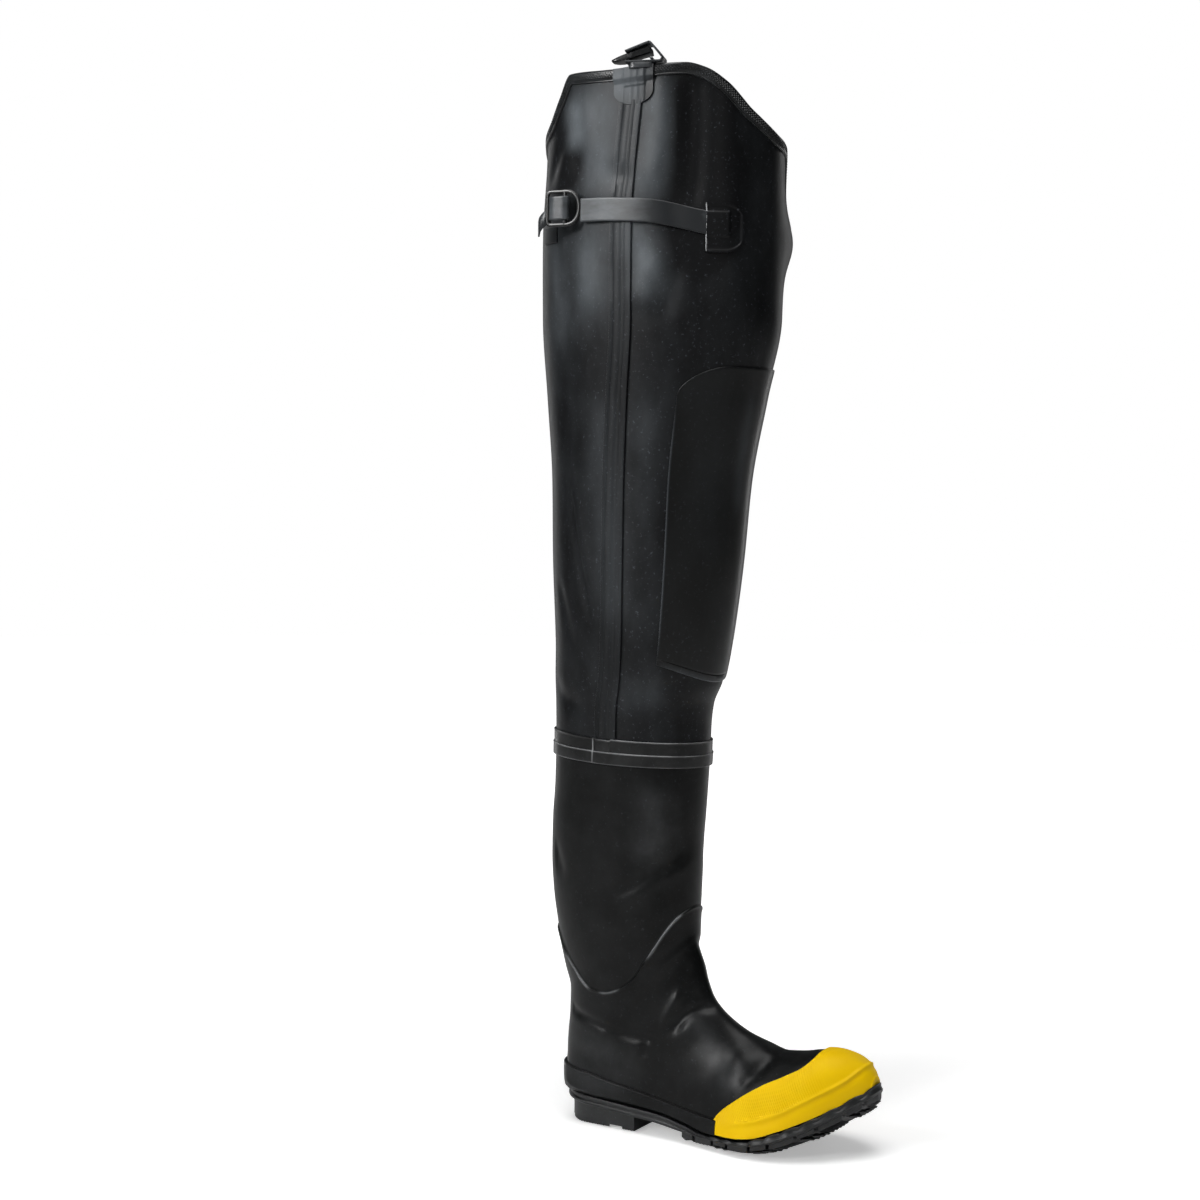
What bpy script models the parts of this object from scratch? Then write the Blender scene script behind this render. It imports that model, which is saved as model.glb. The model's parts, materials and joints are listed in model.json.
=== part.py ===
"""Hip wader for the right foot: a rubber boot with a thin shaft that reaches the hip.

Metres. X runs forwards, Y to the inner side of the leg and Z up. The shapes are worked out
from the back of the outsole, and at the end the origin goes to the heel's ground face.
"""

import math
from collections import namedtuple

import bmesh
import bpy
import numpy as np

MM = 0.001

# Sole
LENGTH = 284.5 * MM
BALL_WIDTH = 100 * MM
HEEL_WIDTH = 72 * MM
HEEL_LENGTH = 79.5 * MM
HEEL_HEIGHT = 20 * MM
HEEL_INSET = 4.5 * MM
HEEL_TAPER = 1.2 * MM
CHEVRON_DEPTH = 3 * MM
CHEVRON_WIDTH = 13 * MM
LUG_DEPTH = 5 * MM
LUG_GROOVE = 2.6 * MM
LUG_BOW = 6 * MM
TOE_SPRING = 47 * MM
CAMBER = 5 * MM
SHANK_RISE = 2.5 * MM
EDGE_HEIGHT = 7 * MM
EDGE_STEP = 1.2 * MM
TREAD_INSET = 1 * MM
INSOLE_THICK = 3 * MM
INSOLE_INSET = 9 * MM
TOE_SHORT = 9 * MM

# Foot, calf and thigh
FOOT_INSET = 4.5 * MM
INSTEP_HEIGHT = 120 * MM
JOINT_HEIGHT = 323.5 * MM
CALF_DEPTH = 142.4 * MM
CALF_WIDTH = 106 * MM
LEG_HEIGHT = 893 * MM
THIGH_DEPTH = 226 * MM
THIGH_WIDTH = 156 * MM
FLARE = 13.5 * MM

# Walls and layers
GAP = 0.3 * MM
BOOT_WALL = 2.4 * MM
SHAFT_WALL = 1.6 * MM
FLOOR_LIP = 12.5 * MM
FLOOR_SINK = 6 * MM
VAMP_STEP = 0.8 * MM
CAP_THICK = 1.6 * MM
FOXING_THICK = 1.5 * MM
BAND_THICK = 2 * MM
BAND_STEP = 0.8 * MM
BAND_WIDTH = 21.5 * MM
BAND_TILT = 5 * MM
TAPE_WIDTH = 21 * MM
TAPE_THICK = 0.8 * MM
TAPE_STEP = 0.7 * MM
PATCH_THICK = 1.5 * MM
PATCH_CORNER = 25 * MM
BINDING_WIDTH = 8.5 * MM
BINDING_THICK = 1.2 * MM
TAB_WIDTH = 36 * MM
TAB_LENGTH = 30 * MM
TAB_THICK = 1.4 * MM
TAB_ROUND = 0.62

# Straps and buckles
STRAP_WIDTH = 19.5 * MM
STRAP_THICK = 1.8 * MM
BUCKLE_LENGTH = 33 * MM
BUCKLE_WIDTH = 31 * MM
BUCKLE_THICK = 2.6 * MM
BUCKLE_BAR = 3.4 * MM
PAD_THICK = 1.2 * MM
BELT_WIDTH = 19 * MM
BELT_LENGTH = 31 * MM
BELT_RISE = 17.6 * MM
WEDGE_LENGTH = 33 * MM
WEDGE_HEIGHT = 12.5 * MM
WEDGE_WIDTH = 17 * MM
PIN_DIAMETER = 2.4 * MM

# The origin is under the heel, at this share of the outsole's length
ORIGIN = 0.08

# Numbers of sections and of points in a section
FOOT_STATIONS = 30
RING = 28
SOLE_STATIONS = 22

# The outsole seen from below: half widths as shares of the heel's and the ball's own
SoleRow = namedtuple("SoleRow", "along heel ball shift")
SOLE_ROWS = (
    SoleRow(0.00, 1.00, 0.000, 0.000),
    SoleRow(0.18, 1.00, 0.000, 0.000),
    SoleRow(0.27, 0.98, 0.000, -0.005),
    SoleRow(0.40, 0.60, 0.228, -0.030),
    SoleRow(0.50, 0.25, 0.540, -0.030),
    SoleRow(0.60, 0.00, 0.870, -0.005),
    SoleRow(0.68, 0.00, 0.975, 0.025),
    SoleRow(0.75, 0.00, 1.000, 0.060),
    SoleRow(0.83, 0.00, 0.990, 0.105),
    SoleRow(0.90, 0.00, 0.920, 0.150),
    SoleRow(0.95, 0.00, 0.820, 0.185),
    SoleRow(1.00, 0.00, 0.700, 0.200),
)
TOE_ROUND = 0.28
FLAT_FROM = 0.54
FLAT_TO = 0.65
SPRING_POWER = 1.8
FLAT_MIDDLE = 0.4

# Height of the sole between its lugs, of its edge above that, and how far its sides are raised
BaseRow = namedtuple("BaseRow", "along heel lug edge camber")
BASE_ROWS = (
    BaseRow(0.00, 1.00, 0.00, 1.00, 0.0),
    BaseRow(0.27, 0.73, 0.00, 1.00, 0.0),
    BaseRow(0.36, 0.62, 0.10, 1.00, 0.0),
    BaseRow(0.45, 0.20, 0.85, 1.00, 0.3),
    BaseRow(0.54, 0.00, 1.00, 0.80, 0.8),
    BaseRow(0.65, 0.00, 1.00, 0.90, 1.0),
    BaseRow(0.72, 0.00, 1.00, 1.34, 1.0),
    BaseRow(0.81, 0.00, 1.00, 1.64, 1.0),
    BaseRow(0.90, 0.00, 1.00, 1.60, 0.8),
    BaseRow(1.00, 0.00, 1.00, 1.30, 0.3),
)

# The heel's chevron groove, as shares of the heel's length, and the grooves between the rows
# of lugs, as shares of the outsole's
CHEVRON_TIP = 0.43
CHEVRON_SWEEP = 0.30
TREAD_START = 0.455
TREAD_GROOVES = (0.50, 0.57, 0.625, 0.70, 0.755, 0.825, 0.87, 0.925, 0.965)

# Foot sections from the toe back to the heel: along is on the sole, top is the highest point
# (rise above the sole as a share of the instep's height). full rounds the section out, flat
# is its flat floor, and ankle is how far its width has changed from the sole's to the leg's.
FootRow = namedtuple("FootRow", "along top rise full flat ankle")
FOOT_ROWS = (
    FootRow(0.992, 0.991, 0.080, 2.3, 1.00, 0.00),
    FootRow(0.975, 0.974, 0.170, 2.3, 1.00, 0.00),
    FootRow(0.950, 0.948, 0.246, 2.4, 1.00, 0.00),
    FootRow(0.920, 0.915, 0.317, 2.4, 1.00, 0.00),
    FootRow(0.880, 0.870, 0.388, 2.4, 1.00, 0.00),
    FootRow(0.830, 0.825, 0.442, 2.3, 1.00, 0.00),
    FootRow(0.770, 0.775, 0.485, 2.2, 1.00, 0.00),
    FootRow(0.700, 0.720, 0.540, 2.1, 1.00, 0.00),
    FootRow(0.620, 0.660, 0.618, 2.0, 1.00, 0.00),
    FootRow(0.540, 0.602, 0.678, 1.9, 1.00, 0.00),
    FootRow(0.460, 0.555, 0.710, 1.9, 1.00, 0.00),
    FootRow(0.380, 0.516, 0.745, 1.9, 1.00, 0.00),
    FootRow(0.300, 0.484, 0.810, 1.9, 1.00, 0.05),
    FootRow(0.220, 0.462, 0.910, 1.9, 1.00, 0.15),
    FootRow(0.140, 0.447, 1.010, 2.0, 1.00, 0.40),
    FootRow(0.070, 0.432, 1.080, 2.0, 0.92, 0.75),
    FootRow(0.014, 0.421, 1.135, 2.0, 0.60, 1.00),
)

# Heel and leg sections: the back point's height as a share of the joint's, and the front
# point's as a share of the way from the top of the foot to the joint
BackRow = namedtuple("BackRow", "back front full flat")
BACK_ROWS = (
    BackRow(0.135, 0.0532, 2.0, 0.15),
    BackRow(0.200, 0.1136, 2.0, 0.05),
    BackRow(0.270, 0.1740, 2.0, 0.00),
    BackRow(0.335, 0.2345, 2.0, 0.00),
    BackRow(0.395, 0.2949, 2.0, 0.00),
    BackRow(0.455, 0.3654, 2.0, 0.00),
    BackRow(0.525, 0.4460, 2.0, 0.00),
    BackRow(0.605, 0.5467, 2.0, 0.00),
    BackRow(0.700, 0.6575, 2.0, 0.00),
    BackRow(0.800, 0.7683, 2.0, 0.00),
    BackRow(0.900, 0.8791, 2.0, 0.00),
    BackRow(1.000, 1.0000, 2.0, 0.00),
)

# The leg up to the joint: middle as a share of the outsole's length, depth and width of the calf's
CalfRow = namedtuple("CalfRow", "rise middle depth width")
CALF_ROWS = (
    CalfRow(0.09, 0.211, 0.847, 0.64),
    CalfRow(0.20, 0.209, 0.853, 0.68),
    CalfRow(0.325, 0.2135, 0.837, 0.745),
    CalfRow(0.386, 0.205, 0.871, 0.783),
    CalfRow(0.442, 0.1975, 0.912, 0.811),
    CalfRow(0.504, 0.188, 0.936, 0.849),
    CalfRow(0.578, 0.179, 0.962, 0.881),
    CalfRow(0.655, 0.1755, 0.984, 0.911),
    CalfRow(0.754, 0.1757, 0.997, 0.943),
    CalfRow(0.862, 0.184, 0.993, 0.972),
    CalfRow(1.00, 0.1903, 1.000, 1.000),
)

# The shaft above the joint: middle as before, depth and width on their way from calf to thigh
ThighRow = namedtuple("ThighRow", "rise middle deep wide")
THIGH_ROWS = (
    ThighRow(0.000, 0.1903, 0.00, 0.00),
    ThighRow(0.043, 0.1910, 0.01, 0.03),
    ThighRow(0.073, 0.1940, 0.04, 0.06),
    ThighRow(0.104, 0.2060, 0.14, 0.14),
    ThighRow(0.164, 0.2190, 0.22, 0.28),
    ThighRow(0.287, 0.2300, 0.37, 0.46),
    ThighRow(0.408, 0.2390, 0.46, 0.60),
    ThighRow(0.529, 0.2530, 0.69, 0.76),
    ThighRow(0.649, 0.2680, 0.93, 0.92),
    ThighRow(0.770, 0.2680, 0.94, 1.00),
    ThighRow(0.890, 0.2740, 0.89, 1.00),
    ThighRow(1.000, 0.2760, 0.88, 1.00),
)
SHAFT_ROWS = (0.0, 0.043, 0.073, 0.104, 0.164, 0.227, 0.287, 0.35, 0.408, 0.469, 0.529, 0.589, 0.649)
COLLAR_ROWS = 6

# Height of the collar round the leg: 0 degrees is the front, 90 the inner side, -90 the outer
CollarRow = namedtuple("CollarRow", "angle rise")
COLLAR_ROWS_ROUND = (
    CollarRow(-158, 0.948),
    CollarRow(-140, 0.960),
    CollarRow(-128, 0.981),
    CollarRow(-119, 1.000),
    CollarRow(-93, 0.998),
    CollarRow(-72, 1.000),
    CollarRow(-58, 1.001),
    CollarRow(-49, 0.997),
    CollarRow(-38, 0.985),
    CollarRow(-22, 0.960),
    CollarRow(-1, 0.942),
    CollarRow(20, 0.933),
    CollarRow(32, 0.902),
    CollarRow(42, 0.866),
    CollarRow(55, 0.848),
    CollarRow(90, 0.840),
    CollarRow(130, 0.854),
    CollarRow(165, 0.897),
    CollarRow(188, 0.935),
)
FLARE_ANGLE = 44
FLARE_RISE = 0.762
FLARE_TALL = 0.048

# Vamp line, from the back over the side to the front: shares of the length and the joint's height
LineRow = namedtuple("LineRow", "along rise")
VAMP_LINE = (
    LineRow(-0.110, 0.530),
    LineRow(-0.031, 0.511),
    LineRow(0.010, 0.467),
    LineRow(0.059, 0.422),
    LineRow(0.100, 0.392),
    LineRow(0.137, 0.373),
    LineRow(0.186, 0.368),
    LineRow(0.235, 0.381),
    LineRow(0.281, 0.413),
    LineRow(0.309, 0.453),
    LineRow(0.336, 0.490),
    LineRow(0.361, 0.529),
    LineRow(0.389, 0.569),
    LineRow(0.413, 0.594),
    LineRow(0.437, 0.612),
    LineRow(0.490, 0.627),
)

# Top of the foxing and rear edge of the toe cap, with heights as shares of the instep's
FOXING_LINE = (
    LineRow(-0.140, 0.410),
    LineRow(0.000, 0.408),
    LineRow(0.104, 0.392),
    LineRow(0.201, 0.342),
    LineRow(0.288, 0.305),
    LineRow(0.382, 0.267),
    LineRow(0.455, 0.238),
    LineRow(0.520, 0.220),
    LineRow(0.570, 0.215),
)
CAP_LINE = (
    LineRow(0.525, 0.000),
    LineRow(0.528, 0.067),
    LineRow(0.547, 0.140),
    LineRow(0.580, 0.258),
    LineRow(0.642, 0.380),
    LineRow(0.712, 0.487),
    LineRow(0.767, 0.550),
    LineRow(0.817, 0.620),
    LineRow(0.836, 0.680),
    LineRow(0.842, 0.760),
    LineRow(0.842, 1.000),
)

# The side seam tape's angle round the leg on its way up the shaft
TapeRow = namedtuple("TapeRow", "rise angle")
TAPE_ROWS = (
    TapeRow(0.00, -86),
    TapeRow(0.45, -87),
    TapeRow(0.80, -86.5),
    TapeRow(1.00, -82),
)

# Angles round the leg of what is fixed to the shaft
TAB_ANGLE = -82
PATCH_ANGLE = 56
PATCH_LOW = 0.109
PATCH_SAG = 15.5 * MM
PATCH_HIGH = 0.572
PATCH_FRONT = 0.24

# Thigh strap from the buckle forwards to its pad: lift is in strap thicknesses off the shaft
StrapRow = namedtuple("StrapRow", "angle rise lift")
STRAP_ROWS = (
    StrapRow(-106, 0.7990, 2.0),
    StrapRow(-102, 0.7985, 1.6),
    StrapRow(-95, 0.7980, 1.3),
    StrapRow(-86, 0.7960, 1.25),
    StrapRow(-77, 0.7940, 1.2),
    StrapRow(-68, 0.7900, 1.0),
    StrapRow(-59, 0.7840, 0.6),
    StrapRow(-52, 0.7790, 0.3),
    StrapRow(-46, 0.7750, 0.17),
)
BUCKLE_ANGLE = -106
BUCKLE_RISE = 0.8030
BUCKLE_TURN = 17
PAD_FRONT = -27
PAD_LOW = 0.7330
PAD_HIGH = 0.8050
ANCHOR_ANGLE = -133
ANCHOR_RISE = 0.7700
ANCHOR_SIZE = 14 * MM

# Belt strap over the rim, as shares of its length and its rise, seen from the side
BeltRow = namedtuple("BeltRow", "forward rise")
BELT_ROWS = (
    BeltRow(-0.640, 0.115),
    BeltRow(0.220, 0.125),
    BeltRow(0.310, 0.165),
    BeltRow(0.340, 0.270),
    BeltRow(0.310, 0.380),
    BeltRow(0.050, 0.920),
    BeltRow(-0.005, 0.985),
    BeltRow(-0.085, 0.960),
    BeltRow(-0.650, 0.590),
)
# Buckle in the fold of the belt strap, as shares of its own length and height
WedgeRow = namedtuple("WedgeRow", "forward rise")
WEDGE_ROWS = (
    WedgeRow(-0.92, 0.200),
    WedgeRow(-0.88, 0.370),
    WedgeRow(-0.60, 0.660),
    WedgeRow(-0.10, 1.120),
    WedgeRow(0.020, 1.080),
    WedgeRow(0.080, 0.720),
    WedgeRow(-0.02, 0.620),
    WedgeRow(-0.45, 0.360),
    WedgeRow(-0.86, 0.100),
)
BELT_ANGLE = -75.5
BELT_TURN = 20
PIN_FORWARD = 1.5 * MM
PIN_RISE = 4.7 * MM

# Colour (linear), roughness and metallic value of each material
FINISHES = {
    "calf_rubber": (0.013, 0.014, 0.015, 0.38, 0.0),
    "shaft_rubber": (0.018, 0.020, 0.022, 0.50, 0.0),
    "sole_rubber": (0.012, 0.012, 0.013, 0.60, 0.0),
    "cap_rubber": (0.680, 0.450, 0.000, 0.45, 0.0),
    "insole_board": (0.060, 0.055, 0.050, 0.85, 0.0),
    "strap_rubber": (0.016, 0.017, 0.018, 0.45, 0.0),
    "buckle_plastic": (0.014, 0.014, 0.015, 0.35, 0.0),
    "pin_steel": (0.550, 0.560, 0.570, 0.30, 1.0),
}


def smooth(xs, ys, at):
    """Values of a smooth curve through a table's points, with no overshoot between them."""
    xs = np.asarray(xs, float)
    ys = np.asarray(ys, float)
    at = np.clip(np.asarray(at, float), xs[0], xs[-1])
    step = np.diff(xs)
    slope = np.diff(ys) / step
    tangent = np.zeros(len(xs))
    tangent[0] = slope[0]
    tangent[-1] = slope[-1]
    for i in range(1, len(xs) - 1):
        if slope[i - 1] * slope[i] > 0:
            before = 2 * step[i] + step[i - 1]
            after = step[i] + 2 * step[i - 1]
            tangent[i] = (before + after) / (before / slope[i - 1] + after / slope[i])
    k = np.clip(np.searchsorted(xs, at, side="right") - 1, 0, len(step) - 1)
    t = (at - xs[k]) / step[k]
    rise = ys[k] * (1 + 2 * t) * (1 - t) ** 2 + ys[k + 1] * t * t * (3 - 2 * t)
    return rise + step[k] * (tangent[k] * t * (1 - t) ** 2 - tangent[k + 1] * t * t * (1 - t))


def column(rows, name):
    """One named column of a table."""
    return [getattr(row, name) for row in rows]


# Sole


def half_width(along, inset=0.0):
    """Half width of the outsole, round at the heel and at the toe, and its middle."""
    full = smooth(column(SOLE_ROWS, "along"), column(SOLE_ROWS, "heel"), along) * HEEL_WIDTH / 2
    full = full + smooth(column(SOLE_ROWS, "along"), column(SOLE_ROWS, "ball"), along) * BALL_WIDTH / 2
    shift = smooth(column(SOLE_ROWS, "along"), column(SOLE_ROWS, "shift"), along) * BALL_WIDTH
    heel_round = HEEL_WIDTH / 2 / LENGTH
    heel = np.clip((heel_round - along) / heel_round, 0, 1)
    toe = np.clip((along - 1 + TOE_ROUND) / TOE_ROUND, 0, 1)
    return (full - inset) * np.sqrt(1 - heel ** 2) * np.sqrt(1 - toe ** 2), shift


def base_share(along, name):
    """One column of the sole's heights."""
    return smooth(column(BASE_ROWS, "along"), column(BASE_ROWS, name), along)


def toe_lift(along):
    """Rise of the whole sole towards the toe."""
    return np.clip((along - FLAT_TO) / (1 - FLAT_TO), 0, None) ** SPRING_POWER * TOE_SPRING


def side_lift(along, across):
    """Rise of the sole towards its two sides; across is -1 and 1 at its edges."""
    out = np.clip((abs(across) - FLAT_MIDDLE) / (1 - FLAT_MIDDLE), 0, 1)
    return base_share(along, "camber") * CAMBER * out ** 2


def tread(along, across=1.0):
    """Height of the lugs' ground line: flat under the ball, up to the toe and to the shank."""
    rear = np.clip((FLAT_FROM - along) / (FLAT_FROM - TREAD_START), 0, 1) ** 2 * SHANK_RISE
    return toe_lift(along) + rear + side_lift(along, across)


def underside(along, across=1.0):
    """Height of the sole between its lugs."""
    heel = base_share(along, "heel") * HEEL_HEIGHT
    lug = base_share(along, "lug") * LUG_DEPTH
    return heel + lug + toe_lift(along) + side_lift(along, across)


def topside(along, across=1.0):
    """Height of the sole's upper face, on which the foot stands."""
    return underside(along, 0.0) + base_share(along, "edge") * EDGE_HEIGHT


def sole_shares():
    """Shares along the sole, closer together at its two round ends."""
    turn = np.linspace(0, math.pi, SOLE_STATIONS + 1)
    return (1 - np.cos(turn)) / 2


def top_line(lift):
    """The sole's upper face seen from the side, raised by lift, past both of its ends."""
    xs = sole_shares() * LENGTH
    zs = topside(sole_shares()) + lift
    steep = (zs[-1] - zs[-2]) / (xs[-1] - xs[-2])
    line = [(-40 * MM, zs[0])] + list(zip(xs, zs))
    return line + [(LENGTH + 10 * MM, zs[-1] + 10 * MM * steep)]


# Making meshes


def new_object(name, mesh, parts):
    """Put a mesh in the scene, as a part or as a cutter."""
    body = bpy.data.objects.new(name, mesh)
    parts.objects.link(body)
    return body


def mesh_from(name, points, faces):
    """A closed mesh from points and faces, with doubled points merged and its faces outwards."""
    mesh = bpy.data.meshes.new(name)
    mesh.from_pydata([tuple(p) for p in points], [], faces)
    work = bmesh.new()
    work.from_mesh(mesh)
    bmesh.ops.remove_doubles(work, verts=work.verts, dist=1e-6)
    bmesh.ops.dissolve_degenerate(work, edges=work.edges, dist=1e-7)
    bmesh.ops.recalc_face_normals(work, faces=work.faces)
    work.to_mesh(mesh)
    work.free()
    return mesh


def ring_faces(rows, count, wrap=False):
    """Quads between rings of equal count; wrap joins the last ring to the first."""
    faces = []
    for i in range(rows if wrap else rows - 1):
        for j in range(count):
            a = i * count + j
            b = i * count + (j + 1) % count
            up = ((i + 1) % rows - i) * count
            faces.append((a, b, b + up, a + up))
    return faces


def ladder_faces(start, count):
    """A cap over one ring, as rungs between its two halves."""
    half = count // 2
    faces = []
    for j in range(half):
        a = start + j
        b = start + j + 1
        c = start + (count - j - 1) % count
        d = start + (count - j) % count
        faces.append(tuple(dict.fromkeys((a, b, c, d))))
    return [face for face in faces if len(face) > 2]


def loft(name, rings, parts):
    """A closed solid through rings of points, capped at both ends."""
    rows = len(rings)
    count = len(rings[0])
    points = np.concatenate(rings)
    faces = ring_faces(rows, count)
    faces += ladder_faces(0, count)
    faces += ladder_faces((rows - 1) * count, count)
    return new_object(name, mesh_from(name, points, faces), parts)


def hoop(name, rings, parts):
    """A closed solid whose last ring joins the first again."""
    rows = len(rings)
    count = len(rings[0])
    faces = ring_faces(rows, count, wrap=True)
    return new_object(name, mesh_from(name, np.concatenate(rings), faces), parts)


def prism(name, outline, axis, low, high, parts):
    """An outline pulled along an axis. Along Y it is given as (x, z), along X as (y, z)."""
    work = bmesh.new()
    corners = []
    for first, second in outline:
        place = (first, low, second) if axis == "Y" else (low, first, second)
        corners.append(work.verts.new(place))
    face = work.faces.new(corners)
    pulled = bmesh.ops.extrude_face_region(work, geom=[face])
    way = (0, high - low, 0) if axis == "Y" else (high - low, 0, 0)
    moved = [v for v in pulled["geom"] if isinstance(v, bmesh.types.BMVert)]
    bmesh.ops.translate(work, verts=moved, vec=way)
    bmesh.ops.recalc_face_normals(work, faces=work.faces)
    mesh = bpy.data.meshes.new(name)
    work.to_mesh(mesh)
    work.free()
    return new_object(name, mesh, parts)


def combine(body, other, operation):
    """Apply a Boolean to a body and remove what it used."""
    cut = body.modifiers.new(operation.title(), "BOOLEAN")
    cut.operation = operation
    cut.solver = "EXACT"
    cut.object = other
    depsgraph = bpy.context.evaluated_depsgraph_get()
    mesh = bpy.data.meshes.new_from_object(body.evaluated_get(depsgraph))
    body.modifiers.clear()
    body.data = mesh
    bpy.data.objects.remove(other, do_unlink=True)
    return body


def plan_solid(name, levels, parts, shares=None, front=LENGTH, columns=()):
    """A solid in the sole's outline, from (inset, height function) levels, lowest first.

    It ends at front, less the inset. Its two faces bend at the columns across it.
    """
    shares = sole_shares() if shares is None else shares
    points = []
    rings = []
    for inset, height in levels:
        half, shift = half_width(shares, inset)
        nose = inset if front == LENGTH or shares[-1] == 1 else 0.0
        x = inset + shares / shares[-1] * (front - nose - inset)
        stripes = {}
        for across in (-1.0, *columns, 1.0):
            z = height(x / LENGTH, across)
            stripes[across] = np.stack([x, shift + across * half, z + 0 * x], axis=1)
        rings.append(stripes)
        points.append(np.concatenate([stripes[-1.0], stripes[1.0][::-1]]))
    count = len(points[0])
    faces = ring_faces(len(rings), count)
    number = count // 2
    filled = count * len(points)
    for level in (0, len(rings) - 1):
        lines = [[level * count + k for k in range(number)]]
        for across in columns:
            lines.append([filled + k for k in range(number)])
            points.append(rings[level][across])
            filled += number
        lines.append([level * count + count - 1 - k for k in range(number)])
        for near, far in zip(lines, lines[1:]):
            for k in range(number - 1):
                faces.append((near[k], near[k + 1], far[k + 1], far[k]))
    return new_object(name, mesh_from(name, np.concatenate(points), faces), parts)


# The foot and the leg


def leg_section(z):
    """Middle, half depth and half width of the leg at a height."""
    if z <= JOINT_HEIGHT:
        rise = z / JOINT_HEIGHT
        keys = column(CALF_ROWS, "rise")
        middle = smooth(keys, column(CALF_ROWS, "middle"), rise) * LENGTH
        depth = smooth(keys, column(CALF_ROWS, "depth"), rise) * CALF_DEPTH / 2
        width = smooth(keys, column(CALF_ROWS, "width"), rise) * CALF_WIDTH / 2
        return middle, depth, width
    rise = (z - JOINT_HEIGHT) / (LEG_HEIGHT - JOINT_HEIGHT)
    keys = column(THIGH_ROWS, "rise")
    middle = smooth(keys, column(THIGH_ROWS, "middle"), rise) * LENGTH
    deep = smooth(keys, column(THIGH_ROWS, "deep"), rise)
    wide = smooth(keys, column(THIGH_ROWS, "wide"), rise)
    depth = (CALF_DEPTH + deep * (THIGH_DEPTH - CALF_DEPTH)) / 2
    width = (CALF_WIDTH + wide * (THIGH_WIDTH - CALF_WIDTH)) / 2
    return middle, depth, width


def shaft_height(share):
    """Height of a share of the shaft."""
    return JOINT_HEIGHT + share * (LEG_HEIGHT - JOINT_HEIGHT)


def leg_point(angle, z, lift=0.0):
    """A point on the leg's surface, lifted off it. The angle is in degrees from the front."""
    middle, depth, width = leg_section(z)
    turn = math.radians(angle)
    out = np.array([math.cos(turn) * width, math.sin(turn) * depth])
    out = out / np.linalg.norm(out)
    near = (angle - FLARE_ANGLE + 180) % 360 - 180
    tall = (z - shaft_height(FLARE_RISE)) / (FLARE_TALL * (LEG_HEIGHT - JOINT_HEIGHT))
    lift = lift + FLARE * math.exp(-(near / 22) ** 2) * math.exp(-tall ** 2)
    x = middle + depth * math.cos(turn) + out[0] * lift
    y = width * math.sin(turn) + out[1] * lift
    return np.array([x, y, z])


def half_ring(full, flat):
    """Half a section, from its lowest or rearmost point to its top: (along, out) shares."""
    half = RING // 2
    floor = ((0.0, 0.0), (0.0, 0.50), (0.0, 0.88))
    out = []
    for j in range(half + 1):
        turn = math.pi * j / half
        power = 2 / full
        s_round = (1 - math.copysign(abs(math.cos(turn)) ** power, math.cos(turn))) / 2
        w_round = abs(math.sin(turn)) ** power
        if j < len(floor):
            s_flat, w_flat = floor[j]
        else:
            climb = math.pi / 2 * (j - len(floor)) / (half - len(floor))
            s_flat = 0.035 + 0.965 * math.sin(climb) ** power
            w_flat = abs(math.cos(climb)) ** power
        out.append((flat * s_flat + (1 - flat) * s_round, flat * w_flat + (1 - flat) * w_round))
    out[0] = (out[0][0], 0.0)
    out[-1] = (1.0, 0.0)
    return out


def foot_sections():
    """Low and top point, half width, fullness and flatness of every section, toe to joint."""
    rows = []
    length = LENGTH - 2 * FOOT_INSET
    for row in FOOT_ROWS:
        half, shift = half_width(row.along, FOOT_INSET)
        low_x = FOOT_INSET + row.along * length
        low = (low_x, topside(low_x / LENGTH) + GAP)
        high = (FOOT_INSET + row.top * length, low[1] + row.rise * INSTEP_HEIGHT)
        leg = leg_section((low[1] + high[1]) / 2)[2]
        width = half + (leg - half) * row.ankle
        top_shift = half_width(row.top, FOOT_INSET)[1]
        rows.append((*low, *high, width, shift, top_shift, row.full, row.flat))
    foot_top = rows[-1][3]
    for row in BACK_ROWS:
        low_z = row.back * JOINT_HEIGHT
        high_z = foot_top + row.front * (JOINT_HEIGHT - foot_top)
        middle, depth, _ = leg_section(low_z)
        low = (middle - depth, low_z)
        middle, depth, _ = leg_section(high_z)
        high = (middle + depth, high_z)
        width = leg_section((low_z + high_z) / 2)[2]
        rows.append((*low, *high, width, 0.0, 0.0, row.full, row.flat))
    table = np.array(rows)
    keys = np.arange(len(rows))
    at = np.linspace(0, len(rows) - 1, FOOT_STATIONS)
    return np.stack([smooth(keys, table[:, k], at) for k in range(table.shape[1])], axis=1)


def foot_rings():
    """The foot's and the calf's outer surface, as rings of points."""
    rings = []
    for low_x, low_z, high_x, high_z, width, shift, top_shift, full, flat in foot_sections():
        half = half_ring(full, flat)
        way = [(s, -w) for s, w in half] + [(s, w) for s, w in half[-2:0:-1]]
        ring = []
        for s, w in way:
            y = shift + (top_shift - shift) * s + w * width
            ring.append((low_x + (high_x - low_x) * s, y, low_z + (high_z - low_z) * s))
        rings.append(ring)
    rings = np.array(rings)
    rings[-1, :, 2] = JOINT_HEIGHT - GAP / 2
    return rings


def normals_of(rings):
    """Outward directions at the points of a set of rings."""
    around = np.roll(rings, -1, axis=1) - np.roll(rings, 1, axis=1)
    along = np.gradient(rings, axis=0)
    out = np.cross(around, along)
    out = out / np.maximum(np.linalg.norm(out, axis=2, keepdims=True), 1e-9)
    middle = rings.mean(axis=1, keepdims=True)
    if np.sum(out * (rings - middle)) < 0:
        out = -out
    return out


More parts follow.
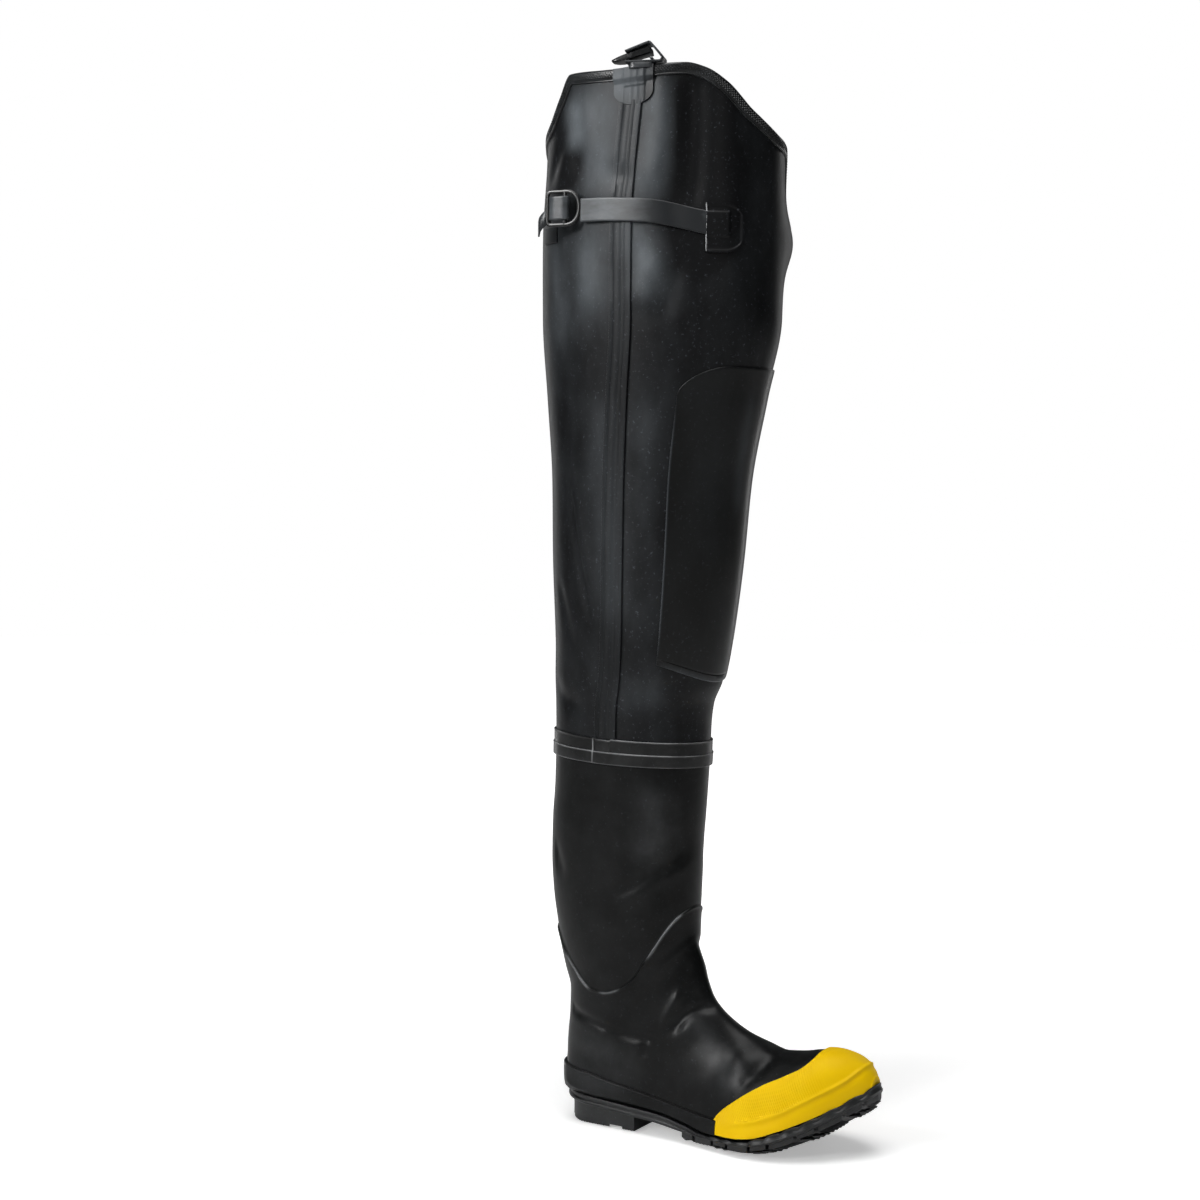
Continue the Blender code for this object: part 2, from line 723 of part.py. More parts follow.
def foot_form(name, offset, cutters, sink=0.0, rise=0.0, skip=0):
    """The foot and calf as a filled form, swollen or shrunk by offset and longer at its ends."""
    rings = foot_rings()
    flats = foot_sections()[:, 8]
    out = rings + normals_of(rings) * offset
    floor = [0, 1, 2, 3, RING - 1, RING - 2, RING - 3]
    for i, flat in enumerate(flats):
        for j in floor:
            out[i, j, 2] -= sink * min(1.0, 2 * flat)
    out[-1, :, 2] = rings[-1, :, 2] + rise
    return loft(name, list(out[skip:]), cutters)


def layer_on_foot(name, near, far, outline, parts, cutters):
    """What lies between two forms of the foot, inside an outline seen from the side."""
    body = foot_form(name, far, parts, sink=FLOOR_SINK)
    combine(body, foot_form("near", near, cutters, sink=FLOOR_SINK, rise=2 * BOOT_WALL), "DIFFERENCE")
    return combine(body, prism("side", outline, "Y", -BALL_WIDTH, BALL_WIDTH, cutters), "INTERSECT")


def line_points(rows, height):
    """A line of shares as points seen from the side."""
    return [(row.along * LENGTH, row.rise * height) for row in rows]


# The shaft


def collar_height(angle):
    """Height of the shaft's rim at an angle."""
    keys = column(COLLAR_ROWS_ROUND, "angle")
    rises = column(COLLAR_ROWS_ROUND, "rise")
    keys = [keys[-1] - 360] + keys + [keys[0] + 360]
    rises = [rises[-1]] + rises + [rises[0]]
    angle = (angle + 170) % 360 - 170
    return float(smooth(keys, rises, angle)) * LEG_HEIGHT


def shaft_angles():
    """Angles of the points in a ring of the shaft, from the back over the outer side."""
    return [-180 + 360 * j / RING for j in range(RING)]


def shaft_tube(name, near, far, parts, extra=0.0):
    """The shaft between two lifts off its outer surface, with extra height at its rim."""
    low = [shaft_height(share) for share in SHAFT_ROWS]
    low[0] += GAP / 2
    heights = []
    for angle in shaft_angles():
        top = collar_height(angle) + extra
        climb = [low[-1] + (top - low[-1]) * k / COLLAR_ROWS for k in range(1, COLLAR_ROWS + 1)]
        heights.append(low + climb)
    rows = len(heights[0])
    rings = []
    for lift, order in ((far, range(rows)), (near, range(rows - 1, -1, -1))):
        for i in order:
            ring = [leg_point(a, h[i], lift) for a, h in zip(shaft_angles(), heights)]
            rings.append(np.array(ring))
    return hoop(name, rings, parts)


def layer_on_shaft(name, near, far, cutter, parts, extra=0.0):
    """What lies between two lifts off the shaft, inside a cutter."""
    return combine(shaft_tube(name, near, far, parts, extra), cutter, "INTERSECT")


def rim_block(name, inside, outside, below, above, parts):
    """A thick strip along the rim of the shaft."""
    rings = []
    step = 360 / RING
    for angle in shaft_angles():
        here = collar_height(angle)
        before = leg_point(angle - step / 2, here)
        after = leg_point(angle + step / 2, here)
        arc = np.linalg.norm(after - before)
        climb = collar_height(angle + step / 2) - collar_height(angle - step / 2)
        span = math.hypot(arc, climb)
        ring = []
        for down, lift in ((below, outside), (-above, outside), (-above, inside), (below, inside)):
            turn = angle + down * climb / span * step / arc
            ring.append(leg_point(turn, here - down * arc / span, lift))
        rings.append(np.array(ring))
    return hoop(name, rings, parts)


def ribbon(name, path, width, thick, parts):
    """A flat strip along a path of middle points, standing on edge: width is up, thick is out."""
    path = np.array(path)
    rings = []
    for i, point in enumerate(path):
        ahead = path[min(i + 1, len(path) - 1)] - path[max(i - 1, 0)]
        side = np.array([ahead[1], -ahead[0], 0.0])
        side = side / np.linalg.norm(side) * thick / 2
        up = np.array([0.0, 0.0, width / 2])
        rings.append(np.array([point + side - up, point + side + up, point - side + up, point - side - up]))
    return loft(name, rings, parts)


def plate(name, size, holes, parts, cutters):
    """A flat plate with a round front end and slots, lying in its own X and Z, thick along Y."""
    length, thick, width = size
    bpy.ops.mesh.primitive_cube_add(size=1)
    body = bpy.context.object
    body.name = name
    for holder in list(body.users_collection):
        holder.objects.unlink(body)
    parts.objects.link(body)
    work = bmesh.new()
    work.from_mesh(body.data)
    bmesh.ops.scale(work, verts=work.verts, vec=(length, thick, width))
    upright = [e for e in work.edges if all(v.co.x > 0 for v in e.verts) and e.calc_length() < thick * 1.01]
    bmesh.ops.bevel(work, geom=upright, offset=width * 0.42, segments=4, profile=0.5, affect="EDGES")
    work.to_mesh(body.data)
    work.free()
    for middle, span, tall in holes:
        outline = [(middle + a * span / 2, b * tall / 2) for a, b in ((-1, -1), (1, -1), (1, 1), (-1, 1))]
        combine(body, prism("slot", outline, "Y", -thick, thick, cutters), "DIFFERENCE")
    return body


def place(body, where, turn, axis):
    """Turn a body's mesh about an axis through its own origin, then move it."""
    from_axis = {"Z": (0, 1), "Y": (2, 0)}[axis]
    a, b = from_axis
    cosine = math.cos(math.radians(turn))
    sine = math.sin(math.radians(turn))
    for vertex in body.data.vertices:
        first = vertex.co[a]
        second = vertex.co[b]
        vertex.co[a] = first * cosine - second * sine + where[a]
        vertex.co[b] = first * sine + second * cosine + where[b]
        other = 3 - a - b
        vertex.co[other] = vertex.co[other] + where[other]


# The pieces


def make_outsole(parts, cutters):
    """Sole with a stepped side and arced rows of lugs."""

    def low_step(along, across):
        return underside(along, across) + 0.45 * (topside(along) - underside(along, across))

    def high_step(along, across):
        return underside(along, across) + 0.58 * (topside(along) - underside(along, across))

    def lug_root(along, across):
        return underside(along, across) + TREAD_INSET

    columns = (-0.7, -FLAT_MIDDLE, FLAT_MIDDLE, 0.7)
    levels = ((0.0, underside), (0.0, low_step), (EDGE_STEP, high_step), (EDGE_STEP, topside))
    body = plan_solid("outsole", levels, parts, columns=columns)
    lugs = plan_solid("lugs", ((TREAD_INSET, tread), (TREAD_INSET, lug_root)), cutters, columns=columns)
    grooves = [(TREAD_START * LENGTH / 2 - LUG_BOW, TREAD_START * LENGTH)]
    grooves += [(share * LENGTH, LUG_GROOVE) for share in TREAD_GROOVES]
    for middle, wide in grooves:
        rings = []
        for y in np.linspace(-BALL_WIDTH, BALL_WIDTH, 9):
            bow = max(LUG_BOW * (0.5 - (2 * y / BALL_WIDTH) ** 2), -2 * LUG_BOW)
            corners = ((-1, -LUG_DEPTH), (1, -LUG_DEPTH), (1, 2 * TOE_SPRING), (-1, 2 * TOE_SPRING))
            rings.append(np.array([(middle + bow + a * wide / 2, y, z) for a, z in corners]))
        combine(lugs, loft("groove", rings, cutters), "DIFFERENCE")
    return combine(body, lugs, "UNION")


def make_heel(parts, cutters):
    """D-shaped block with a flat front, cut underneath by a chevron groove."""
    back = np.sin(np.linspace(0, math.pi / 2, 8)) ** 2 * (HEEL_WIDTH / 2 / HEEL_LENGTH)
    shares = np.append(back, 1.0) * HEEL_LENGTH / LENGTH

    def ground(along, across):
        return along * 0.0

    def seat(along, across):
        return underside(along) - GAP

    levels = ((HEEL_INSET + HEEL_TAPER, ground), (HEEL_INSET, seat))
    body = plan_solid("heel", levels, parts, shares=shares, front=HEEL_LENGTH)
    rings = []
    for side in (-1.2, 0.0, 1.2):
        x = CHEVRON_TIP * HEEL_LENGTH + abs(side) * CHEVRON_SWEEP * HEEL_LENGTH
        y = side * HEEL_WIDTH / 2
        corners = ((0, -CHEVRON_DEPTH), (1, -CHEVRON_DEPTH), (1, CHEVRON_DEPTH), (0, CHEVRON_DEPTH))
        rings.append(np.array([(x + a * CHEVRON_WIDTH, y, z) for a, z in corners]))
    return combine(body, loft("chevron", rings, cutters), "DIFFERENCE")


def make_insole(parts):
    """Board on the upper's turned-in edge."""
    inset = FOOT_INSET + BOOT_WALL + INSOLE_INSET

    def low(along, across):
        step = 1 * MM / LENGTH
        slope = (topside(along + step) - topside(along - step)) / (2 * step * LENGTH)
        return topside(along) + (BOOT_WALL + 6 * GAP) * np.sqrt(1 + slope ** 2)

    def high(along, across):
        return low(along, across) + INSOLE_THICK

    return plan_solid("insole", ((inset, low), (inset, high)), parts, front=LENGTH - TOE_SHORT)


def make_upper(parts, cutters):
    """Foot and calf in one hollow wall, raised by a step under the vamp line."""
    body = foot_form("upper", 0.0, parts, sink=FLOOR_SINK)
    outline = line_points(VAMP_LINE, JOINT_HEIGHT)
    outline += [(LENGTH * 1.3, outline[-1][1]), (LENGTH * 1.3, -0.05), (outline[0][0], -0.05)]
    vamp = foot_form("vamp", VAMP_STEP, cutters, sink=FLOOR_SINK)
    combine(vamp, prism("side", outline, "Y", -BALL_WIDTH, BALL_WIDTH, cutters), "INTERSECT")
    combine(body, vamp, "UNION")
    combine(body, foot_form("inner", -BOOT_WALL, cutters, rise=2 * BOOT_WALL, skip=1), "DIFFERENCE")
    hole = FOOT_INSET + BOOT_WALL + FLOOR_LIP

    def under(along, across):
        return topside(along) - TOE_SHORT

    def over(along, across):
        return topside(along) + 3 * BOOT_WALL

    opening = plan_solid("opening", ((hole, under), (hole, over)), cutters, front=LENGTH - TOE_SHORT)
    combine(body, opening, "DIFFERENCE")
    line = top_line(GAP)
    below = line + [(line[-1][0], -0.05), (line[0][0], -0.05)]
    return combine(body, prism("floor", below, "Y", -BALL_WIDTH, BALL_WIDTH, cutters), "DIFFERENCE")


def make_toe_cap(parts, cutters):
    """Moulded cap from the sole over the toe."""
    edge = [p for p in line_points(CAP_LINE, INSTEP_HEIGHT) if p[1] > topside(p[0] / LENGTH) + 3 * GAP]
    line = [p for p in top_line(3 * GAP) if p[0] > edge[0][0] + 0.5 * MM]
    start = (edge[0][0] - GAP, topside(edge[0][0] / LENGTH) + 3 * GAP)
    outline = [start] + line + [(line[-1][0], edge[-1][1])] + edge[::-1]
    near = VAMP_STEP + 2 * GAP
    return layer_on_foot("toe_cap", near, near + CAP_THICK, outline, parts, cutters)


def make_foxing(parts, cutters):
    """Strip round the rear and the sides, above the sole and behind the toe cap."""
    top = line_points(FOXING_LINE, INSTEP_HEIGHT)
    cap = line_points(CAP_LINE, INSTEP_HEIGHT)
    heights = [z for _, z in cap]
    reach = [x for x, _ in cap]
    front_x = float(np.interp(top[-1][1], heights, reach)) - 1.5 * GAP
    top = [p for p in top if p[0] < front_x - 1 * MM] + [(front_x, top[-1][1])]
    low_x = reach[0] - 1.5 * GAP
    front = [(x - 1.5 * GAP, z) for x, z in cap if topside(x / LENGTH) + 3 * GAP < z < top[-1][1] - 1 * MM]
    line = [p for p in top_line(3 * GAP) if p[0] < low_x - 1 * MM]
    line.append((low_x, topside(low_x / LENGTH) + 3 * GAP))
    outline = line + front + top[::-1]
    near = VAMP_STEP + 3.5 * GAP
    return layer_on_foot("foxing", near, near + FOXING_THICK, outline, parts, cutters)


def make_joint_band(parts):
    """Two-step tape round the joint of the calf and the shaft."""
    rings = []
    near = 1.4 * GAP
    far = near + BAND_THICK
    half = BAND_WIDTH / 2
    upper = far - BAND_STEP
    corners = ((-half, near), (-half, far), (0.0, far), (0.0, upper), (half, upper), (half, near))
    for angle in shaft_angles():
        z = JOINT_HEIGHT + BAND_TILT * (1 - math.cos(math.radians(angle))) / 2
        rings.append(np.array([leg_point(angle, z + up, lift) for up, lift in corners]))
    return hoop("joint_band", rings, parts)


def tape_outline(from_share, to_share, top):
    """Side view of part of the seam tape, between two shares of its width."""
    low = JOINT_HEIGHT + (BAND_WIDTH + BAND_TILT) / 2 + 2 * GAP
    rear = []
    front = []
    for z in np.linspace(low, top, 14):
        depth = leg_section(z)[1]
        share = (z - JOINT_HEIGHT) / (LEG_HEIGHT - JOINT_HEIGHT)
        angle = float(smooth(column(TAPE_ROWS, "rise"), column(TAPE_ROWS, "angle"), share))
        middle = leg_point(angle, z)[0]
        for line, across in ((rear, from_share), (front, to_share)):
            line.append((middle + (across - 0.5) * TAPE_WIDTH * min(1.0, depth / (CALF_DEPTH / 2)), z))
    return rear + front[::-1]


def make_side_seam_tape(parts, cutters):
    """Tape up the outer side, with a second layer along its front edge."""
    top = collar_height(TAB_ANGLE) - TAB_LENGTH - GAP
    far = -THIGH_WIDTH
    wide = prism("tape", tape_outline(0.0, 1.0, top), "Y", far, 0.0, cutters)
    body = layer_on_shaft("side_seam_tape", GAP, GAP + TAPE_THICK, wide, parts)
    narrow = prism("tape", tape_outline(0.55, 0.97, top - 0.5 * MM), "Y", far, 0.0, cutters)
    layer = layer_on_shaft("layer", GAP + TAPE_THICK / 2, GAP + TAPE_THICK + TAPE_STEP, narrow, cutters)
    return combine(body, layer, "UNION")


def arc_points(middle, radius, start, end, steps):
    """Points on an arc, with angles in degrees."""
    turns = np.radians(np.linspace(start, end, steps + 1))
    return [(middle[0] + radius * math.cos(t), middle[1] + radius * math.sin(t)) for t in turns]


def make_knee_patch(parts, cutters):
    """Patch on the front of the shaft, round at its upper corners."""
    low = shaft_height(PATCH_LOW)
    high = shaft_height(PATCH_HIGH)
    spread = math.sin(math.radians(PATCH_ANGLE))
    side = []
    for z in np.linspace(low + PATCH_SAG, high - PATCH_CORNER, 9):
        side.append((leg_section(z)[2] * spread, z))
    reach = side[-1][0] - PATCH_CORNER
    side += arc_points((reach, high - PATCH_CORNER), PATCH_CORNER, 18, 90, 4)
    hem = []
    for share in np.linspace(-0.8, 0.8, 5):
        hem.append((share * side[0][0], low + PATCH_SAG * share ** 2))
    outline = hem + side + [(-y, z) for y, z in side[::-1]]
    cutter = prism("front", outline, "X", PATCH_FRONT * LENGTH, LENGTH, cutters)
    return layer_on_shaft("knee_patch", GAP, GAP + PATCH_THICK, cutter, parts)


def make_collar_binding(parts, cutters):
    """Strip folded over the rim."""
    leaf = GAP + BINDING_THICK
    body = rim_block("collar_binding", -SHAFT_WALL - leaf, leaf, BINDING_WIDTH, leaf, parts)
    slot = shaft_tube("slot", -SHAFT_WALL - GAP, GAP, cutters, extra=GAP)
    return combine(body, slot, "DIFFERENCE")


def make_belt_tab(parts, cutters):
    """Patch at the top of the outer side, round at its lower end, over the binding."""
    top = collar_height(TAB_ANGLE)
    middle = leg_point(TAB_ANGLE, top)[0]
    radius = TAB_WIDTH / 2
    low = top - TAB_LENGTH
    outline = [(middle - radius, top + 10 * MM)]
    for x, z in arc_points((0, 0), radius, 180, 360, 10):
        outline.append((middle + x, low + TAB_ROUND * (radius + z)))
    outline.append((middle + radius, top + 10 * MM))
    far = BINDING_THICK + 2 * GAP + TAB_THICK
    cutter = prism("tab", outline, "Y", -THIGH_WIDTH, 0.0, cutters)
    body = layer_on_shaft("belt_tab", GAP, far, cutter, parts, extra=BINDING_THICK + 2 * GAP)
    leaf = 2 * GAP + BINDING_THICK
    clear = rim_block("clear", -SHAFT_WALL - leaf, leaf, BINDING_WIDTH + GAP, leaf + 5 * MM, cutters)
    return combine(body, clear, "DIFFERENCE")


def belt_spot(forward, across, rise):
    """A point of the belt's fittings, from the place on the rim that holds them."""
    top = collar_height(BELT_ANGLE)
    foot = leg_point(BELT_ANGLE, top)
    turn = math.radians(BELT_TURN)
    x = foot[0] + forward * math.cos(turn) - across * math.sin(turn)
    y = foot[1] + BELT_WIDTH / 4 + forward * math.sin(turn) + across * math.cos(turn)
    return np.array([x, y, top + BINDING_THICK + GAP + rise])


def make_belt_strap(parts):
    """Short strap that lies on the rim, turns up and folds back over the buckle."""
    path = [np.array([row.forward * BELT_LENGTH, row.rise * BELT_RISE]) for row in BELT_ROWS]
    rings = []
    for i, (x, z) in enumerate(path):
        ahead = path[min(i + 1, len(path) - 1)] - path[max(i - 1, 0)]
        out = np.array([-ahead[1], ahead[0]]) / np.linalg.norm(ahead) * STRAP_THICK / 2
        ring = []
        for sign, side in ((-1, -1), (1, -1), (1, 1), (-1, 1)):
            ring.append(belt_spot(x + sign * out[0], side * BELT_WIDTH / 2, z + sign * out[1]))
        rings.append(np.array(ring))
    return loft("belt_strap", rings, parts)


def make_belt_buckle(parts):
    """Wedge-shaped buckle in the strap's fold."""
    points = []
    for side in (-1, 1):
        for row in WEDGE_ROWS:
            points.append(belt_spot(row.forward * WEDGE_LENGTH, side * WEDGE_WIDTH / 2, row.rise * WEDGE_HEIGHT))
    count = len(WEDGE_ROWS)
    faces = [tuple(range(count)), tuple(range(2 * count - 1, count - 1, -1))] + ring_faces(2, count)
    return new_object("belt_buckle", mesh_from("belt_buckle", points, faces), parts)


def make_belt_pin(parts):
    """Round pin across the fold."""
    rings = []
    for side in (-1, 1):
        ring = []
        for turn in np.linspace(0, 2 * math.pi, 12, endpoint=False):
            x = PIN_FORWARD + PIN_DIAMETER / 2 * math.cos(turn)
            z = PIN_RISE + PIN_DIAMETER / 2 * math.sin(turn)
            ring.append(belt_spot(x, side * (BELT_WIDTH / 2 + 1 * MM), z))
        rings.append(np.array(ring))
    return loft("belt_pin", rings, parts)


def make_thigh_strap(parts):
    """Strap round the outer side of the thigh, off the shaft in its middle."""
    angles = column(STRAP_ROWS, "angle")
    path = []
    for angle in np.linspace(angles[0], angles[-1], 15):
        z = shaft_height(float(smooth(angles, column(STRAP_ROWS, "rise"), angle)))
        lift = float(smooth(angles, column(STRAP_ROWS, "lift"), angle)) * STRAP_THICK
        path.append(leg_point(angle, z, GAP + STRAP_THICK / 2 + lift))
    return ribbon("thigh_strap", path, STRAP_WIDTH, STRAP_THICK, parts)


def make_thigh_buckle(parts, cutters):
    """Two-slot buckle at the rear end of the thigh strap."""
    inner = BUCKLE_WIDTH - 2 * BUCKLE_BAR
    slot = (BUCKLE_LENGTH - 3 * BUCKLE_BAR) / 2
    first = -BUCKLE_LENGTH / 2 + BUCKLE_BAR + slot / 2
    second = BUCKLE_LENGTH / 2 - BUCKLE_BAR - slot / 2
    holes = ((first, slot, inner), (second, slot, inner * 0.7))
    body = plate("thigh_buckle", (BUCKLE_LENGTH, BUCKLE_THICK, BUCKLE_WIDTH), holes, parts, cutters)
    level = shaft_height(BUCKLE_RISE)
    ahead = leg_point(BUCKLE_ANGLE + 2, level) - leg_point(BUCKLE_ANGLE - 2, level)
    turn = math.degrees(math.atan2(ahead[1], ahead[0])) + BUCKLE_TURN
    start = column(STRAP_ROWS, "lift")[0] * STRAP_THICK
    front = leg_point(BUCKLE_ANGLE, level, GAP + start + STRAP_THICK / 2)
    way = np.array([math.cos(math.radians(turn)), math.sin(math.radians(turn)), 0.0])
    place(body, front - way * (BUCKLE_LENGTH / 2 + GAP), turn, "Z")
    return body


def make_strap_anchor(parts):
    """Small patch that holds the thigh strap's rear end."""
    z = shaft_height(ANCHOR_RISE)
    reach = math.degrees(ANCHOR_SIZE / THIGH_DEPTH * 2)
    path = []
    for angle in np.linspace(ANCHOR_ANGLE - reach, ANCHOR_ANGLE + reach, 7):
        path.append(leg_point(angle, z, 3 * GAP + PAD_THICK / 2))
    return ribbon("strap_anchor", path, ANCHOR_SIZE, PAD_THICK, parts)


def make_strap_pad(parts, cutters):
    """D-shaped patch in which the front end of the thigh strap is held."""
    low = shaft_height(PAD_LOW)
    high = shaft_height(PAD_HIGH)
    strap_end = column(STRAP_ROWS, "angle")[-1]
    rear = leg_point(strap_end, (low + high) / 2)[0] + 1 * MM
    front = leg_point(PAD_FRONT, (low + high) / 2)[0]
    radius = (front - rear) * 0.6
    outline = [(rear, low), (front - radius, low)]
    outline += arc_points((front - radius, low + radius), radius, -80, 0, 4)
    outline += arc_points((front - radius, high - radius), radius, 0, 80, 4)
    outline += [(front - radius, high), (rear, high)]
    cutter = prism("pad", outline, "Y", -THIGH_WIDTH, 0.0, cutters)
    return layer_on_shaft("strap_pad", GAP, GAP + PAD_THICK, cutter, parts)


def material(name):
    """A Principled material from the table of finishes."""
    red, green, blue, roughness, metallic = FINISHES[name]
    made = bpy.data.materials.new(name)
    made.use_nodes = True
    shader = made.node_tree.nodes["Principled BSDF"]
    shader.inputs["Base Color"].default_value = (red, green, blue, 1.0)
    shader.inputs["Roughness"].default_value = roughness
    shader.inputs["Metallic"].default_value = metallic
    return made


def build():
    """Make every piece, give it its material and put the origin under the heel."""
    for old in list(bpy.data.objects):
        bpy.data.objects.remove(old, do_unlink=True)
    parts = bpy.data.collections.new("hip_wader")
    cutters = bpy.data.collections.new("cutters")
    for holder in (parts, cutters):
        bpy.context.scene.collection.children.link(holder)
    pieces = {
        "sole_rubber": [make_outsole(parts, cutters), make_heel(parts, cutters)],
        "insole_board": [make_insole(parts)],
        "calf_rubber": [make_upper(parts, cutters), make_foxing(parts, cutters), make_joint_band(parts)],
        "cap_rubber": [make_toe_cap(parts, cutters)],
        "shaft_rubber": [
            shaft_tube("thigh_shaft", -SHAFT_WALL, 0.0, parts),
            make_side_seam_tape(parts, cutters),
            make_knee_patch(parts, cutters),
            make_collar_binding(parts, cutters),
            make_belt_tab(parts, cutters),
            make_strap_anchor(parts),
            make_strap_pad(parts, cutters),
        ],
        "strap_rubber": [make_belt_strap(parts), make_thigh_strap(parts)],
        "buckle_plastic": [make_belt_buckle(parts), make_thigh_buckle(parts, cutters)],
        "pin_steel": [make_belt_pin(parts)],
    }
    for finish, bodies in pieces.items():
        for body in bodies:
            body.data.materials.clear()
            body.data.materials.append(material(finish))
            body.data.shade_smooth()
            body.data.set_sharp_from_angle(angle=math.radians(40))
            for vertex in body.data.vertices:
                vertex.co.x -= ORIGIN * LENGTH


build()
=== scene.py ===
"""Looks of a hip wader for the right foot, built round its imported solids.

Metres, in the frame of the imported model: X forwards, Y to the inner side of the leg, Z up,
with the origin on the floor under the heel.
"""

from __future__ import annotations

import json
import logging
import math
from dataclasses import dataclass
from enum import Enum
from typing import Callable, Sequence

import bmesh
import bpy
import numpy as np
from mathutils import Matrix, Vector
from mathutils.bvhtree import BVHTree

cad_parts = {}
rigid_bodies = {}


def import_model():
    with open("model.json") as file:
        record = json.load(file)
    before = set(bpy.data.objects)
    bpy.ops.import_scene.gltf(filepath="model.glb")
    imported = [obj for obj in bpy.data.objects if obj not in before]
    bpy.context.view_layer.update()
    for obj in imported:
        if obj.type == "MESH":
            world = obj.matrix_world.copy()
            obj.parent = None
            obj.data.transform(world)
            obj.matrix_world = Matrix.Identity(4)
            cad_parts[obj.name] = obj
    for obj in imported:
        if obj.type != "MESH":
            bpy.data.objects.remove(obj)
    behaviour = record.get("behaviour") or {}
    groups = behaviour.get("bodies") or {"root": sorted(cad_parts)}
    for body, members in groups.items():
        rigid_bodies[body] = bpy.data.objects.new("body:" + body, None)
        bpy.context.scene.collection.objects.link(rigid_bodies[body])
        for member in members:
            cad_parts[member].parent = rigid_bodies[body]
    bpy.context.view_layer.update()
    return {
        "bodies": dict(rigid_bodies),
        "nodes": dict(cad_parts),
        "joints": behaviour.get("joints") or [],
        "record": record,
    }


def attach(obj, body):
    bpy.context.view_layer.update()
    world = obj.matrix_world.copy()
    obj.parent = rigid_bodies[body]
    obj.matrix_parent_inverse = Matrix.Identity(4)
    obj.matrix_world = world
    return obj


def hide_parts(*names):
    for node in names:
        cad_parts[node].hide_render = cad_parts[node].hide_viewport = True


LOG = logging.getLogger("hip_wader")
MM = 0.001
Array = np.ndarray
Path = tuple[tuple[float, float, float], ...]
Material = bpy.types.Material
Piece = bpy.types.Object


# Sizes of the boot, as its solids have them


@dataclass(frozen=True)
class BootSizes:
    """Lengths that every piece of the boot follows, in metres."""

    length: float = 284.5 * MM
    ball_width: float = 100 * MM
    heel_width: float = 72 * MM
    heel_length: float = 79.5 * MM
    heel_height: float = 20 * MM
    heel_inset: float = 4.5 * MM
    lug_depth: float = 5 * MM
    toe_spring: float = 47 * MM
    camber: float = 5 * MM
    shank_rise: float = 2.5 * MM
    edge_height: float = 7 * MM
    foot_inset: float = 4.5 * MM
    instep_height: float = 120 * MM
    joint_height: float = 323.5 * MM
    calf_depth: float = 142.4 * MM
    calf_width: float = 106 * MM
    leg_height: float = 893 * MM
    thigh_depth: float = 226 * MM
    thigh_width: float = 156 * MM
    flare: float = 13.5 * MM
    gap: float = 0.3 * MM
    boot_wall: float = 2.4 * MM
    shaft_wall: float = 1.6 * MM
    vamp_step: float = 0.8 * MM
    origin: float = 0.08


# Rows: along, heel half width, ball half width, shift
SOLE_ROWS = np.array((
    (0.00, 1.00, 0.000, 0.000),
    (0.18, 1.00, 0.000, 0.000),
    (0.27, 0.98, 0.000, -0.005),
    (0.40, 0.60, 0.228, -0.030),
    (0.50, 0.25, 0.540, -0.030),
    (0.60, 0.00, 0.870, -0.005),
    (0.68, 0.00, 0.975, 0.025),
    (0.75, 0.00, 1.000, 0.060),
    (0.83, 0.00, 0.990, 0.105),
    (0.90, 0.00, 0.920, 0.150),
    (0.95, 0.00, 0.820, 0.185),
    (1.00, 0.00, 0.700, 0.200),
))
TOE_ROUND = 0.28
FLAT_FROM = 0.54
FLAT_TO = 0.65
SPRING_POWER = 1.8
FLAT_MIDDLE = 0.4
TREAD_START = 0.455
# Grooves between the rows of lugs, as shares of the outsole's length
TREAD_GROOVES = (0.50, 0.57, 0.625, 0.70, 0.755, 0.825, 0.87, 0.925, 0.965)
# Rows: along, heel, lug, edge, camber
BASE_ROWS = np.array((
    (0.00, 1.00, 0.00, 1.00, 0.0),
    (0.27, 0.73, 0.00, 1.00, 0.0),
    (0.36, 0.62, 0.10, 1.00, 0.0),
    (0.45, 0.20, 0.85, 1.00, 0.3),
    (0.54, 0.00, 1.00, 0.80, 0.8),
    (0.65, 0.00, 1.00, 0.90, 1.0),
    (0.72, 0.00, 1.00, 1.34, 1.0),
    (0.81, 0.00, 1.00, 1.64, 1.0),
    (0.90, 0.00, 1.00, 1.60, 0.8),
    (1.00, 0.00, 1.00, 1.30, 0.3),
))
# Rows: along, top, rise, full, flat, ankle
FOOT_ROWS = (
    (0.992, 0.991, 0.080, 2.3, 1.00, 0.00),
    (0.975, 0.974, 0.170, 2.3, 1.00, 0.00),
    (0.950, 0.948, 0.246, 2.4, 1.00, 0.00),
    (0.920, 0.915, 0.317, 2.4, 1.00, 0.00),
    (0.880, 0.870, 0.388, 2.4, 1.00, 0.00),
    (0.830, 0.825, 0.442, 2.3, 1.00, 0.00),
    (0.770, 0.775, 0.485, 2.2, 1.00, 0.00),
    (0.700, 0.720, 0.540, 2.1, 1.00, 0.00),
    (0.620, 0.660, 0.618, 2.0, 1.00, 0.00),
    (0.540, 0.602, 0.678, 1.9, 1.00, 0.00),
    (0.460, 0.555, 0.710, 1.9, 1.00, 0.00),
    (0.380, 0.516, 0.745, 1.9, 1.00, 0.00),
    (0.300, 0.484, 0.810, 1.9, 1.00, 0.05),
    (0.220, 0.462, 0.910, 1.9, 1.00, 0.15),
    (0.140, 0.447, 1.010, 2.0, 1.00, 0.40),
    (0.070, 0.432, 1.080, 2.0, 0.92, 0.75),
    (0.014, 0.421, 1.135, 2.0, 0.60, 1.00),
)
